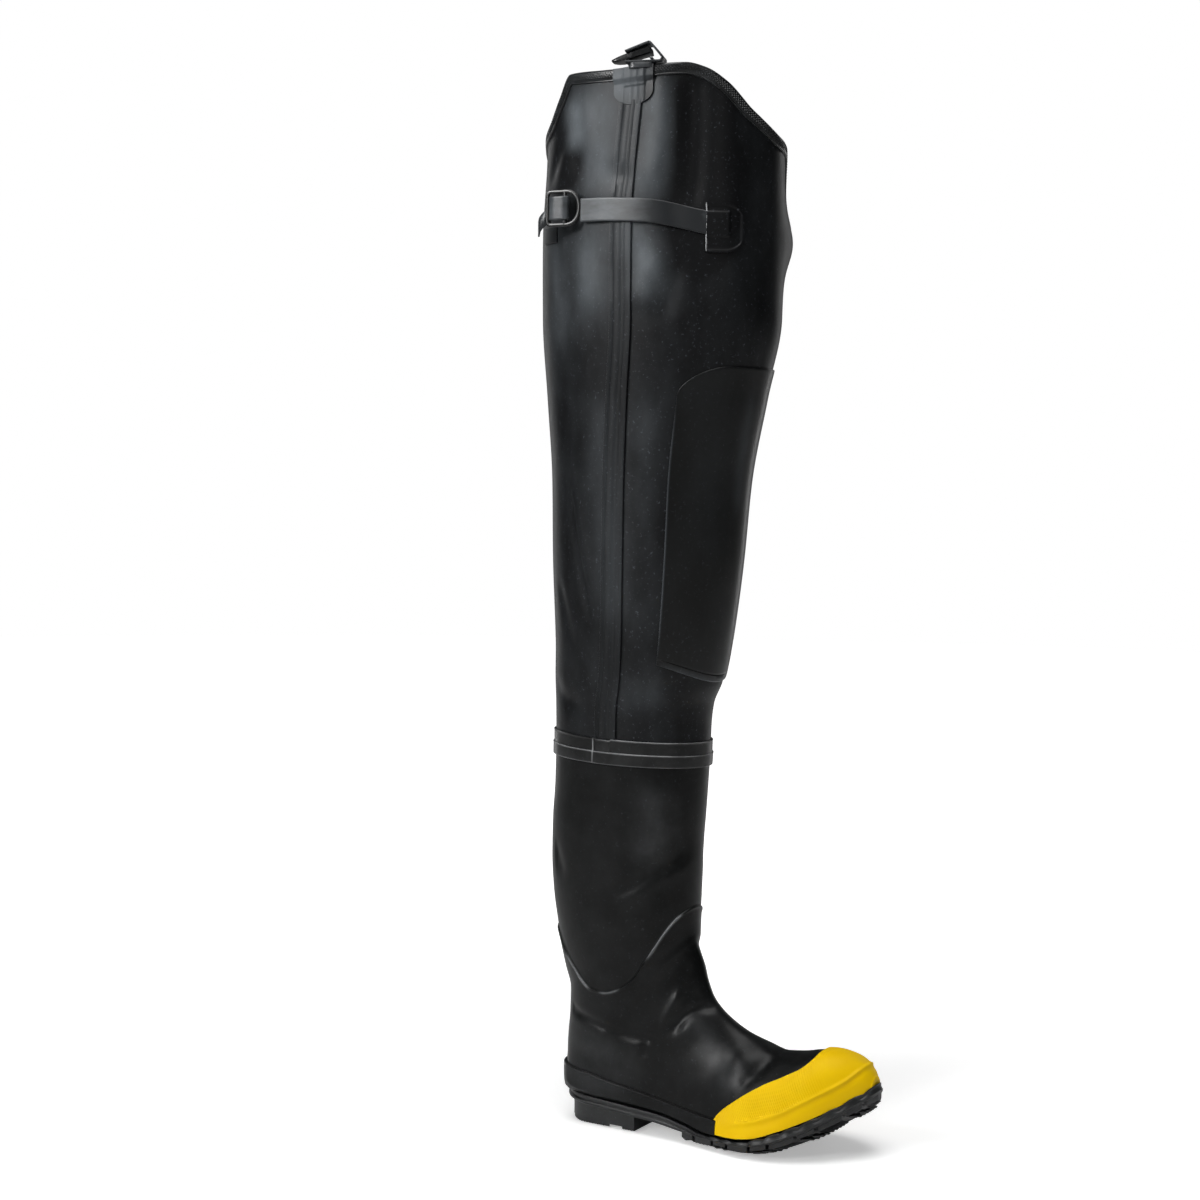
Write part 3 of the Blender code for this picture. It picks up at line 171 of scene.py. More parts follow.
# Rows: back, front, flat
BACK_ROWS = (
    (0.135, 0.0532, 0.15),
    (0.200, 0.1136, 0.05),
    (0.270, 0.1740, 0.00),
    (0.335, 0.2345, 0.00),
    (0.395, 0.2949, 0.00),
    (0.455, 0.3654, 0.00),
    (0.525, 0.4460, 0.00),
    (0.605, 0.5467, 0.00),
    (0.700, 0.6575, 0.00),
    (0.800, 0.7683, 0.00),
    (0.900, 0.8791, 0.00),
    (1.000, 1.0000, 0.00),
)
# Rows: rise, middle, depth, width
CALF_ROWS = np.array((
    (0.09, 0.211, 0.847, 0.64),
    (0.20, 0.209, 0.853, 0.68),
    (0.325, 0.2135, 0.837, 0.745),
    (0.386, 0.205, 0.871, 0.783),
    (0.442, 0.1975, 0.912, 0.811),
    (0.504, 0.188, 0.936, 0.849),
    (0.578, 0.179, 0.962, 0.881),
    (0.655, 0.1755, 0.984, 0.911),
    (0.754, 0.1757, 0.997, 0.943),
    (0.862, 0.184, 0.993, 0.972),
    (1.00, 0.1903, 1.000, 1.000),
))
THIGH_ROWS = np.array((
    (0.000, 0.1903, 0.00, 0.00),
    (0.043, 0.1910, 0.01, 0.03),
    (0.073, 0.1940, 0.04, 0.06),
    (0.104, 0.2060, 0.14, 0.14),
    (0.164, 0.2190, 0.22, 0.28),
    (0.287, 0.2300, 0.37, 0.46),
    (0.408, 0.2390, 0.46, 0.60),
    (0.529, 0.2530, 0.69, 0.76),
    (0.649, 0.2680, 0.93, 0.92),
    (0.770, 0.2680, 0.94, 1.00),
    (0.890, 0.2740, 0.89, 1.00),
    (1.000, 0.2760, 0.88, 1.00),
))
# Rows: angle, rise
COLLAR_ROWS = (
    (-158, 0.948), (-140, 0.960), (-128, 0.981), (-119, 1.000), (-93, 0.998), (-72, 1.000),
    (-58, 1.001), (-49, 0.997), (-38, 0.985), (-22, 0.960), (-1, 0.942), (20, 0.933),
    (32, 0.902), (42, 0.866), (55, 0.848), (90, 0.840), (130, 0.854), (165, 0.897), (188, 0.935),
)
# Rows: along, rise
VAMP_LINE = (
    (-0.110, 0.530), (-0.031, 0.511), (0.010, 0.467), (0.059, 0.422), (0.100, 0.392),
    (0.137, 0.373), (0.186, 0.368), (0.235, 0.381), (0.281, 0.413), (0.309, 0.453),
    (0.336, 0.490), (0.361, 0.529), (0.389, 0.569), (0.413, 0.594), (0.437, 0.612), (0.490, 0.627),
)
FOXING_LINE = (
    (-0.140, 0.410), (0.000, 0.408), (0.104, 0.392), (0.201, 0.342), (0.288, 0.305),
    (0.382, 0.267), (0.455, 0.238), (0.520, 0.220), (0.570, 0.215),
)
CAP_LINE = (
    (0.525, 0.000), (0.528, 0.067), (0.547, 0.140), (0.580, 0.258), (0.642, 0.380),
    (0.712, 0.487), (0.767, 0.550), (0.817, 0.620), (0.836, 0.680), (0.842, 0.760), (0.842, 1.000),
)
# Rows: rise, angle
TAPE_ROWS = ((0.00, -86), (0.45, -87), (0.80, -86.5), (1.00, -82))
# Rows: angle, rise, lift
STRAP_ROWS = (
    (-106, 0.7990, 2.0), (-102, 0.7985, 1.6), (-95, 0.7980, 1.3), (-86, 0.7960, 1.25),
    (-77, 0.7940, 1.2), (-68, 0.7900, 1.0), (-59, 0.7840, 0.6), (-52, 0.7790, 0.3), (-46, 0.7750, 0.17),
)


def smooth(xs: Sequence[float], ys: Sequence[float], at: Array | float) -> Array:
    """Values of a smooth curve through a table's points, with no overshoot between them.

    Args:
        xs: The table's places, rising.
        ys: Its values there.
        at: Where the curve is read.

    Returns:
        The curve's values.
    """
    xs = np.asarray(xs, float)
    ys = np.asarray(ys, float)
    at = np.clip(np.asarray(at, float), xs[0], xs[-1])
    step = np.diff(xs)
    slope = np.diff(ys) / step
    tangent = np.zeros(len(xs))
    tangent[0] = slope[0]
    tangent[-1] = slope[-1]
    for i in range(1, len(xs) - 1):
        if slope[i - 1] * slope[i] > 0:
            before = 2 * step[i] + step[i - 1]
            after = step[i] + 2 * step[i - 1]
            tangent[i] = (before + after) / (before / slope[i - 1] + after / slope[i])
    k = np.clip(np.searchsorted(xs, at, side="right") - 1, 0, len(step) - 1)
    t = (at - xs[k]) / step[k]
    rise = ys[k] * (1 + 2 * t) * (1 - t) ** 2 + ys[k + 1] * t * t * (3 - 2 * t)
    return rise + step[k] * (tangent[k] * t * (1 - t) ** 2 - tangent[k + 1] * t * t * (1 - t))


def columns(rows: Sequence[Sequence[float]]) -> list[list[float]]:
    """The columns of a table of rows."""
    return [list(column) for column in zip(*rows)]


def bell(away: Array | float, width: float) -> Array:
    """A soft hump: 1 where nothing is away, fading over a width."""
    return np.exp(-(away / width) ** 2)


def past(value: Array, edge: float = 0.0) -> Array:
    """How far a value is past an edge, or 0 before it."""
    return np.clip(value - edge, 0, None)


def ease(share: Array) -> Array:
    """A share held between 0 and 1, with soft ends."""
    share = np.clip(share, 0, 1)
    return share * share * (3 - 2 * share)


def run_along(line: Array) -> Array:
    """Distance along a line at each of its points."""
    return np.concatenate([[0], np.cumsum(np.linalg.norm(np.diff(line, axis=0), axis=1))])


def read_at(at: Array, run: Array, line: Array) -> Array:
    """Points of a line at distances along it."""
    return np.stack([np.interp(at, run, column) for column in line.T], axis=1)


class BootForm:
    """The rules that give the boot's outer surface, shared by every piece on it."""

    RING = 28
    HALF = 14

    def __init__(self, sizes: BootSizes) -> None:
        """Work out the foot's sections once."""
        self.sizes = sizes
        self.shift_x = sizes.origin * sizes.length
        self.sections = self._foot_table()

    def base(self, along: Array, column: int) -> Array:
        """One column of the sole's heights at shares of its length."""
        return smooth(BASE_ROWS[:, 0], BASE_ROWS[:, column], along)

    def half_width(self, along: Array, inset: float = 0.0) -> tuple[Array, Array]:
        """Half width of the outsole and its middle, round at both ends.

        Args:
            along: Shares of the outsole's length.
            inset: How far inside its edge.

        Returns:
            The half width and the middle's shift to the inner side.
        """
        size = self.sizes
        full = smooth(SOLE_ROWS[:, 0], SOLE_ROWS[:, 1], along) * size.heel_width / 2
        full = full + smooth(SOLE_ROWS[:, 0], SOLE_ROWS[:, 2], along) * size.ball_width / 2
        shift = smooth(SOLE_ROWS[:, 0], SOLE_ROWS[:, 3], along) * size.ball_width
        heel_round = size.heel_width / 2 / size.length
        heel = np.clip((heel_round - along) / heel_round, 0, 1)
        toe = np.clip((along - 1 + TOE_ROUND) / TOE_ROUND, 0, 1)
        return (full - inset) * np.sqrt(1 - heel ** 2) * np.sqrt(1 - toe ** 2), shift

    def toe_lift(self, along: Array) -> Array:
        """Rise of the whole sole towards the toe."""
        return np.clip((along - FLAT_TO) / (1 - FLAT_TO), 0, None) ** SPRING_POWER * self.sizes.toe_spring

    def side_lift(self, along: Array, across: Array) -> Array:
        """Rise of the sole towards its two sides."""
        out = np.clip((np.abs(across) - FLAT_MIDDLE) / (1 - FLAT_MIDDLE), 0, 1)
        return self.base(along, 4) * self.sizes.camber * out ** 2

    def tread(self, along: Array, across: Array) -> Array:
        """Height of the lugs' ground line."""
        rear = np.clip((FLAT_FROM - along) / (FLAT_FROM - TREAD_START), 0, 1) ** 2 * self.sizes.shank_rise
        return self.toe_lift(along) + rear + self.side_lift(along, across)

    def underside(self, along: Array, across: Array) -> Array:
        """Height of the sole between its lugs."""
        heel = self.base(along, 1) * self.sizes.heel_height
        lug = self.base(along, 2) * self.sizes.lug_depth
        return heel + lug + self.toe_lift(along) + self.side_lift(along, across)

    def topside(self, along: Array) -> Array:
        """Height of the sole's upper face."""
        return self.underside(along, np.zeros_like(along)) + self.base(along, 3) * self.sizes.edge_height

    def leg(self, z: Array) -> tuple[Array, Array, Array]:
        """Middle, half depth and half width of the leg at heights."""
        size = self.sizes
        low = z / size.joint_height
        high = self.share(z)
        calf = [smooth(CALF_ROWS[:, 0], CALF_ROWS[:, k], low) for k in (1, 2, 3)]
        thigh = [smooth(THIGH_ROWS[:, 0], THIGH_ROWS[:, k], high) for k in (1, 2, 3)]
        below = z <= size.joint_height
        middle = np.where(below, calf[0], thigh[0]) * size.length
        deep = (size.calf_depth + thigh[1] * (size.thigh_depth - size.calf_depth)) / 2
        wide = (size.calf_width + thigh[2] * (size.thigh_width - size.calf_width)) / 2
        depth = np.where(below, calf[1] * size.calf_depth / 2, deep)
        width = np.where(below, calf[2] * size.calf_width / 2, wide)
        return middle, depth, width

    def height(self, share: float) -> float:
        """Height of a share of the shaft."""
        return self.sizes.joint_height + share * (self.sizes.leg_height - self.sizes.joint_height)

    def share(self, z: Array | float) -> Array | float:
        """Share of the shaft at heights."""
        return (z - self.sizes.joint_height) / (self.sizes.leg_height - self.sizes.joint_height)

    def along(self, points: Array) -> Array:
        """Shares of the outsole's length at points."""
        return (points[..., 0] + self.shift_x) / self.sizes.length

    def per_degree(self, angle: float, z: float) -> float:
        """Length of one degree round the leg."""
        return float(np.linalg.norm(self.leg_point(angle + 0.5, z) - self.leg_point(angle - 0.5, z)))

    def leg_point(self, angle: Array, z: Array, lift: Array | float = 0.0) -> Array:
        """Points on the leg's surface.

        Args:
            angle: Degrees from the front, positive to the inner side.
            z: Heights.
            lift: How far off the surface.

        Returns:
            Points, with their coordinates last.
        """
        angle, z, lift = np.broadcast_arrays(np.asarray(angle, float), z, lift)
        middle, depth, width = self.leg(z)
        turn = np.radians(angle)
        out = np.stack([np.cos(turn) * width, np.sin(turn) * depth], axis=-1)
        out = out / np.linalg.norm(out, axis=-1, keepdims=True)
        near = (angle - 44 + 180) % 360 - 180
        tall = (z - self.height(0.762)) / (self.height(0.048) - self.height(0.0))
        lift = lift + self.sizes.flare * bell(near, 22) * bell(tall, 1)
        x = middle + depth * np.cos(turn) + out[..., 0] * lift - self.shift_x
        y = width * np.sin(turn) + out[..., 1] * lift
        return np.stack([x, y, z], axis=-1)

    def collar(self, angle: Array) -> Array:
        """Height of the rim at angles."""
        keys, rises = columns(COLLAR_ROWS)
        keys = [keys[-1] - 360] + keys + [keys[0] + 360]
        rises = [rises[-1]] + rises + [rises[0]]
        return smooth(keys, rises, (np.asarray(angle, float) + 170) % 360 - 170) * self.sizes.leg_height

    def _foot_table(self) -> Array:
        """Low and top point, width, shifts, fullness and flatness of each section, toe to joint."""
        size = self.sizes
        rows = []
        length = size.length - 2 * size.foot_inset
        for along, top, rise, full, flat, ankle in FOOT_ROWS:
            half, shift = self.half_width(np.float64(along), size.foot_inset)
            low_x = size.foot_inset + along * length
            low_z = float(self.topside(np.float64(low_x / size.length))) + size.gap
            high_z = low_z + rise * size.instep_height
            leg = float(self.leg(np.float64((low_z + high_z) / 2))[2])
            top_shift = self.half_width(np.float64(top), size.foot_inset)[1]
            high_x = size.foot_inset + top * length
            width = half + (leg - half) * ankle
            rows.append((low_x, low_z, high_x, high_z, width, shift, top_shift, full, flat))
        foot_top = rows[-1][3]
        for back, front, flat in BACK_ROWS:
            low_z = back * size.joint_height
            high_z = foot_top + front * (size.joint_height - foot_top)
            low_leg = self.leg(np.float64(low_z))
            high_leg = self.leg(np.float64(high_z))
            width = self.leg(np.float64((low_z + high_z) / 2))[2]
            low_x = low_leg[0] - low_leg[1]
            rows.append((low_x, low_z, high_leg[0] + high_leg[1], high_z, width, 0.0, 0.0, 2.0, flat))
        return np.array(rows, float)

    @property
    def last(self) -> float:
        """Number of the section at the joint."""
        return float(len(self.sections) - 1)

    def foot_point(self, station: Array, place: Array) -> Array:
        """Points on the foot and the calf.

        Args:
            station: Section number, 0 at the toe.
            place: Place round the section, from the lowest point over the outer side, 0 to 28.

        Returns:
            Points, with their coordinates last.
        """
        station, place = np.broadcast_arrays(np.asarray(station, float), np.asarray(place, float))
        keys = np.arange(len(self.sections))
        low_x, low_z, high_x, high_z, width, shift, top_shift, full, flat = [
            smooth(keys, self.sections[:, k], station) for k in range(9)]
        place = place % self.RING
        side = np.where(place <= self.HALF, -1.0, 1.0)
        j = np.where(place <= self.HALF, place, self.RING - place)
        power = 2 / full
        turn = np.pi * j / self.HALF
        cosine = np.cos(turn)
        s_round = (1 - np.sign(cosine) * np.abs(cosine) ** power) / 2
        w_round = np.abs(np.sin(turn)) ** power
        climb = np.pi / 2 * np.clip((j - 3) / (self.HALF - 3), 0, 1)
        s_flat = np.where(j < 3, np.clip(j - 2, 0, 1) * 0.035, 0.035 + 0.965 * np.sin(climb) ** power)
        w_flat = np.where(j < 3, np.interp(j, (0, 1, 2, 3), (0, 0.5, 0.88, 1)),
                          np.abs(np.cos(climb)) ** power)
        s = flat * s_flat + (1 - flat) * s_round
        w = flat * w_flat + (1 - flat) * w_round
        x = low_x + (high_x - low_x) * s - self.shift_x
        y = shift + (top_shift - shift) * s + side * w * width
        z = low_z + (high_z - low_z) * s
        return np.stack([x, y, np.minimum(z, self.sizes.joint_height - self.sizes.gap / 2)], axis=-1)

    def crossing(self, place: Array, test: Callable[[Array], Array]) -> Array:
        """Section number where each line round the foot first passes a test.

        Args:
            place: Places round the section.
            test: Gives a value for points that turns from negative to positive up the line.

        Returns:
            Section numbers, one for each place.
        """
        fine = np.linspace(0, self.last, 900)
        points = self.foot_point(fine[:, None], place[None, :])
        value = test(points)
        first = np.argmax(value >= 0, axis=0)
        first = np.clip(first, 1, len(fine) - 1)
        cols = np.arange(len(place))
        before = value[first - 1, cols]
        after = value[first, cols]
        share = np.clip(-before / np.where(np.abs(after - before) < 1e-12, 1, after - before), 0, 1)
        return fine[first - 1] + share * (fine[1] - fine[0])


# Meshes


def normals_of(grid: Array, wrap: bool) -> Array:
    """Directions square to a grid of points.

    Args:
        grid: Rows, columns and coordinates.
        wrap: Whether the last column meets the first.

    Returns:
        Unit vectors of the grid's shape, turned by the order of its rows and columns.
    """
    if wrap:
        across = np.roll(grid, -1, axis=1) - np.roll(grid, 1, axis=1)
    else:
        across = np.gradient(grid, axis=1)
    out = np.cross(across, np.gradient(grid, axis=0))
    return out / np.maximum(np.linalg.norm(out, axis=2, keepdims=True), 1e-12)


def outwards(grid: Array, wrap: bool) -> Array:
    """Directions square to a grid that point away from its middle line."""
    out = normals_of(grid, wrap)
    middle = grid.mean(axis=1, keepdims=True)
    return out if np.sum(out * (grid - middle)) > 0 else -out


def grid_faces(rows: int, count: int, start: int = 0, close_rows: bool = False,
               close_columns: bool = False) -> list[tuple[int, ...]]:
    """Quads of a grid of points.

    Args:
        rows: Number of rows.
        count: Points in a row.
        start: Number of the first point.
        close_rows: Whether the last row meets the first.
        close_columns: Whether the last point of a row meets its first.

    Returns:
        The faces.
    """
    faces = []
    for i in range(rows if close_rows else rows - 1):
        for j in range(count if close_columns else count - 1):
            a = start + i * count + j
            b = start + i * count + (j + 1) % count
            up = ((i + 1) % rows - i) * count
            faces.append((a, b, b + up, a + up))
    return faces


def cap_faces(start: int, count: int) -> list[tuple[int, ...]]:
    """A cap over one ring, as rungs between its two halves."""
    faces = []
    for j in range(count // 2):
        rung = (start + j, start + j + 1, start + (count - j - 1) % count, start + (count - j) % count)
        faces.append(tuple(dict.fromkeys(rung)))
    return [face for face in faces if len(face) > 2]


@dataclass
class Shape:
    """Points and faces of one closed form."""

    points: Array
    faces: list[tuple[int, ...]]

    @staticmethod
    def tube(rings: Array | list, wrap: bool = False) -> "Shape":
        """A form through closed rings, capped at its ends or joined into a hoop."""
        rings = np.asarray(rings, float)
        rows, count, _ = rings.shape
        faces = grid_faces(rows, count, close_rows=wrap, close_columns=True)
        if not wrap:
            faces += cap_faces(0, count) + cap_faces((rows - 1) * count, count)
        return Shape(rings.reshape(-1, 3), faces)

    @staticmethod
    def slab(top: Array, bottom: Array) -> "Shape":
        """A form between two grids, joined round their borders."""
        rows, count, _ = top.shape
        under = bottom.copy()
        for border in (np.s_[0, :], np.s_[-1, :], np.s_[:, 0], np.s_[:, -1]):
            under[border] = top[border]
        faces = grid_faces(rows, count) + grid_faces(rows, count, start=rows * count)
        return Shape(np.concatenate([top.reshape(-1, 3), under.reshape(-1, 3)]), faces)

    @staticmethod
    def block(low: Array, high: Array) -> "Shape":
        """A form between two grids, with walls round their borders."""
        rows, count, _ = low.shape
        filled = rows * count
        faces = grid_faces(rows, count) + grid_faces(rows, count, start=filled)
        number = np.arange(filled).reshape(rows, count)
        border = np.concatenate([number[0], number[1:, -1], number[-1, -2::-1], number[-2:0:-1, 0]]).tolist()
        for a, b in zip(border, border[1:] + border[:1]):
            faces.append((a, b, b + filled, a + filled))
        return Shape(np.concatenate([low.reshape(-1, 3), high.reshape(-1, 3)]), faces)

    def join(self, other: "Shape") -> "Shape":
        """Both forms in one mesh."""
        moved = [tuple(i + len(self.points) for i in face) for face in other.faces]
        return Shape(np.concatenate([self.points, other.points]), self.faces + moved)


def make_piece(name: str, shape: Shape, material: Material, nodes: Sequence[str] = (),
               sharp: float = 35.0, bloom: Sequence["Mark"] = (),
               ribbed: Callable[[Array], Array] | None = None, rests: BootForm | None = None) -> Piece:
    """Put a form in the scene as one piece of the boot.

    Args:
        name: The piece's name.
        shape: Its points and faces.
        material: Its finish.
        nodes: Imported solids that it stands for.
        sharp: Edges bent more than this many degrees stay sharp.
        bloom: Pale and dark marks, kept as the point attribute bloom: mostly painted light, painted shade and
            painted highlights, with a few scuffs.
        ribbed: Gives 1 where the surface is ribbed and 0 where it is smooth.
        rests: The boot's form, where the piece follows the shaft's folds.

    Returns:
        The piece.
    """
    points = settle(rests, shape.points) if rests else shape.points
    mesh = bpy.data.meshes.new(name)
    mesh.from_pydata(points.tolist(), [], shape.faces)
    work = bmesh.new()
    work.from_mesh(mesh)
    bmesh.ops.remove_doubles(work, verts=work.verts, dist=2e-6)
    bmesh.ops.dissolve_degenerate(work, edges=work.edges, dist=1e-7)
    bmesh.ops.recalc_face_normals(work, faces=work.faces)
    work.to_mesh(mesh)
    work.free()
    mesh.materials.append(material)
    mesh.shade_smooth()
    mesh.set_sharp_from_angle(angle=math.radians(sharp))
    places = np.empty(len(mesh.vertices) * 3)
    mesh.vertices.foreach_get("co", places)
    places = places.reshape(-1, 3)
    layers = {}
    if bloom:
        layers["bloom"] = marks_at(places, bloom)
    if ribbed:
        layers["ribbed"] = ribbed(places)
    for label, values in layers.items():
        mesh.attributes.new(label, "FLOAT", "POINT").data.foreach_set("value", values.astype(np.float32))
    piece = bpy.data.objects.new(name, mesh)
    bpy.context.scene.collection.objects.link(piece)
    dress(piece, nodes)
    return piece


def dress(piece: Piece, nodes: Sequence[str]) -> None:
    """Tie a piece to the boot's one body, and hide the solids that it stands for."""
    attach(piece, "root")
    if nodes:
        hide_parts(*nodes)
    LOG.info("%s: %d triangles", piece.name, sum(len(p.vertices) - 2 for p in piece.data.polygons))


@dataclass(frozen=True)
class Mark:
    """A soft trough or ridge along a path of places given in millimetres, or a pale or dark patch of colour
    there, which is mostly painted light and shade.
    """

    path: Path
    amount: float
    width: float

    @staticmethod
    def along(points: Array, amount: float, width: float) -> "Mark":
        """A mark along points given in metres."""
        return Mark(tuple(map(tuple, points / MM)), amount, width)


def curve_through(points: Array, count: int) -> Array:
    """A smooth open curve through points, at even shares of its points."""
    if len(points) == 1:
        return points
    at = np.linspace(0, len(points) - 1, count)
    before = np.concatenate([[2 * points[0] - points[1]], points[:-1]])
    after = np.concatenate([points[1:], [2 * points[-1] - points[-2]]])
    slope = (after - before) / 2
    k = np.clip(at.astype(int), 0, len(points) - 2)
    t = (at - k)[:, None]
    start = points[k] * (1 + 2 * t) * (1 - t) ** 2 + points[k + 1] * t * t * (3 - 2 * t)
    return start + slope[k] * t * (1 - t) ** 2 - slope[k + 1] * t * t * (1 - t)


def marks_at(points: Array, marks: Sequence[Mark]) -> Array:
    """Sum of marks at points: each fades with its distance, and to nothing at a path's ends."""
    total = np.zeros(len(points))
    for mark in marks:
        path = curve_through(np.array(mark.path, float) * MM, 9 * len(mark.path))
        strength = np.ones(1)
        if len(path) > 1:
            share = np.linspace(0, 1, len(path))
            strength = ease(np.minimum(share, 1 - share) / 0.22)
        reach = 3 * mark.width * MM
        inside = (points > path.min(axis=0) - reach) & (points < path.max(axis=0) + reach)
        near = np.flatnonzero(np.all(inside, axis=1))
        if len(near):
            away = np.linalg.norm(points[near][:, None, :] - path[None, :, :], axis=2)
            total[near] += mark.amount * (strength[None, :] * bell(away, mark.width * MM)).max(axis=1)
    return total


def relief(grid: Array, marks: Sequence[Mark]) -> Array:
    """Marks at a grid of points, in metres of lift."""
    return (marks_at(grid.reshape(-1, 3), marks) * MM).reshape(grid.shape[:2] + (1,))


# Finishes


def linear(code: str) -> tuple[float, float, float, float]:
    """An sRGB hex code as a linear colour."""
    values = []
    for k in (0, 2, 4):
        share = int(code[k:k + 2], 16) / 255
        values.append(share / 12.92 if share <= 0.04045 else ((share + 0.055) / 1.055) ** 2.4)
    return (*values, 1.0)


def socket(sockets: bpy.types.bpy_prop_collection, name: str) -> bpy.types.NodeSocket:
    """The socket with this identifier, or else the first in use with this name."""
    for one in sockets:
        if one.identifier == name:
            return one
    return next(one for one in sockets if one.name == name and one.enabled)


def fill(tree: bpy.types.NodeTree, node: bpy.types.Node, inputs: dict) -> None:
    """Give a node's inputs their values, or link them to outputs."""
    for name, value in inputs.items():
        target = socket(node.inputs, name)
        if isinstance(value, bpy.types.NodeSocket):
            tree.links.new(value, target)
        else:
            target.default_value = value


def add(tree: bpy.types.NodeTree, kind: str, settings: dict | None = None,
        inputs: dict | None = None) -> bpy.types.Node:
    """Add a node with its settings, and fill or link its inputs.

    Args:
        tree: The node tree.
        kind: The node's type.
        settings: Its properties.
        inputs: A value, or an output to link, for each input.

    Returns:
        The node.
    """
    node = tree.nodes.new(kind)
    for name, value in (settings or {}).items():
        setattr(node, name, value)
    fill(tree, node, inputs or {})
    return node


def start_material(name: str) -> tuple[Material, bpy.types.NodeTree, bpy.types.Node, bpy.types.NodeSocket]:
    """A new material with its tree, its shader and the object's own coordinates."""
    made = bpy.data.materials.new(name)
    made.use_nodes = True
    tree = made.node_tree
    return made, tree, tree.nodes["Principled BSDF"], add(tree, "ShaderNodeTexCoord").outputs["Object"]


@dataclass(frozen=True)
class RubberFinish:
    """A rubber surface: its colours, its bloom, the painted light and shade of its bloom attribute, and its
    grain.
    """

    name: str
    base: str
    pale: str
    rough: float
    rough_change: float = 0.08
    bloom: float = 0.25
    cloud_mm: float = 60.0
    streak: float = 1.0
    grain_mm: float = 2.0
    grain_depth_mm: float = 0.02
    wave_mm: float = 30.0
    wave_depth_mm: float = 0.15
    dust: float = 0.0
    dust_mm: float = 2.6
    dust_tone: str = "868c98"
    coat: float = 0.0
    coat_rough: float = 0.2
    specular: float = 0.5
    rib_mm: float = 0.0
    rib_depth_mm: float = 0.28
    rib_slant: float = 30.0

    def paint(self, tree: bpy.types.NodeTree, where: bpy.types.NodeSocket,
              stretched: bpy.types.NodeSocket) -> tuple[bpy.types.NodeSocket, bpy.types.NodeSocket]:
        """The clouded and dusty colour, with the painted light and shade of the bloom attribute, and the
        bloom's share that it follows.
        """
        cloud = add(tree, "ShaderNodeTexNoise", inputs={
            "Vector": stretched, "Scale": 1 / (self.cloud_mm * MM), "Detail": 5.0,
            "Roughness": 0.62}).outputs["Fac"]
        spread = add(tree, "ShaderNodeMapRange", inputs={
            "Value": cloud, "From Min": 0.38, "From Max": 0.72, "To Min": 0.0, "To Max": self.bloom})
        # The bloom attribute is painted light and painted shade: pale lit patches, shaded valleys and
        # highlights on edges, with a few scuffs; the clouds break it up
        painted_light_and_shade = add(tree, "ShaderNodeAttribute", {"attribute_name": "bloom"})
        broken = add(tree, "ShaderNodeMapRange", inputs={
            "Value": cloud, "From Min": 0.30, "From Max": 0.65, "To Min": 0.55, "To Max": 1.25})
        patch = add(tree, "ShaderNodeMath", {"operation": "MULTIPLY"}, {
            "Value": painted_light_and_shade.outputs["Fac"], "Value_001": broken.outputs["Result"]})
        both = add(tree, "ShaderNodeMath", {"operation": "ADD", "use_clamp": True}, {
            "Value": spread.outputs["Result"], "Value_001": patch.outputs["Value"]}).outputs["Value"]
        paint = add(tree, "ShaderNodeMix", {"data_type": "RGBA"}, {
            "Factor_Float": both, "A_Color": linear(self.base), "B_Color": linear(self.pale)}).outputs[2]
        if self.dust:
            speck = add(tree, "ShaderNodeTexNoise", inputs={
                "Vector": where, "Scale": 1 / (self.dust_mm * MM), "Detail": 4.0, "Roughness": 0.7})
            keep = add(tree, "ShaderNodeMapRange", inputs={
                "Value": speck.outputs["Fac"], "From Min": 0.60, "From Max": 0.74,
                "To Min": 0.0, "To Max": self.dust})
            paint = add(tree, "ShaderNodeMix", {"data_type": "RGBA"}, {
                "Factor_Float": keep.outputs["Result"], "A_Color": paint,
                "B_Color": linear(self.dust_tone)}).outputs[2]
        return paint, both

    def relief(self, tree: bpy.types.NodeTree, where: bpy.types.NodeSocket,
               stretched: bpy.types.NodeSocket) -> bpy.types.NodeSocket:
        """The normal of the soft waves, the grain and any ribs."""
        wave = add(tree, "ShaderNodeTexNoise", inputs={
            "Vector": stretched, "Scale": 1 / (self.wave_mm * MM), "Detail": 2.0, "Roughness": 0.5})
        grain = add(tree, "ShaderNodeTexNoise", inputs={
            "Vector": where, "Scale": 1 / (self.grain_mm * MM), "Detail": 3.0, "Roughness": 0.6})
        layers = [(self.wave_depth_mm, wave.outputs["Fac"]), (self.grain_depth_mm, grain.outputs["Fac"])]
        if self.rib_mm:
            slanted = add(tree, "ShaderNodeMapping", inputs={
                "Vector": where, "Rotation": (0.0, math.radians(self.rib_slant), 0.0)}).outputs["Vector"]
            ribs = add(tree, "ShaderNodeTexWave", {"wave_type": "BANDS", "bands_direction": "X"}, {
                "Vector": slanted, "Scale": 2 * math.pi / (20 * self.rib_mm * MM), "Distortion": 0.3})
            ribbed = add(tree, "ShaderNodeAttribute", {"attribute_name": "ribbed"})
            height = add(tree, "ShaderNodeMath", {"operation": "MULTIPLY"}, {
                "Value": ribs.outputs["Fac"], "Value_001": ribbed.outputs["Fac"]})
            layers.append((self.rib_depth_mm, height.outputs["Value"]))
        under = {}
        for depth, height in layers:
            bump = add(tree, "ShaderNodeBump", inputs={
                "Strength": 1.0, "Distance": depth * MM, "Height": height, **under})
            under = {"Normal": bump.outputs["Normal"]}
        return under["Normal"]

    def build(self) -> Material:
        """Make the material from its nodes."""
        made, tree, shader, where = start_material(self.name)
        stretched = add(tree, "ShaderNodeMapping", inputs={
            "Vector": where, "Scale": (1.0, 1.0, 1.0 / self.streak)}).outputs["Vector"]
        paint, share = self.paint(tree, where, stretched)
        rough = add(tree, "ShaderNodeMapRange", inputs={
            "Value": share, "From Min": 0.0, "From Max": 1.0,
            "To Min": self.rough, "To Max": self.rough + self.rough_change})
        fill(tree, shader, {
            "Base Color": paint, "Roughness": rough.outputs["Result"],
            "Normal": self.relief(tree, where, stretched), "Specular IOR Level": self.specular,
            "IOR": 1.5, "Coat Weight": self.coat, "Coat Roughness": self.coat_rough})
        return made
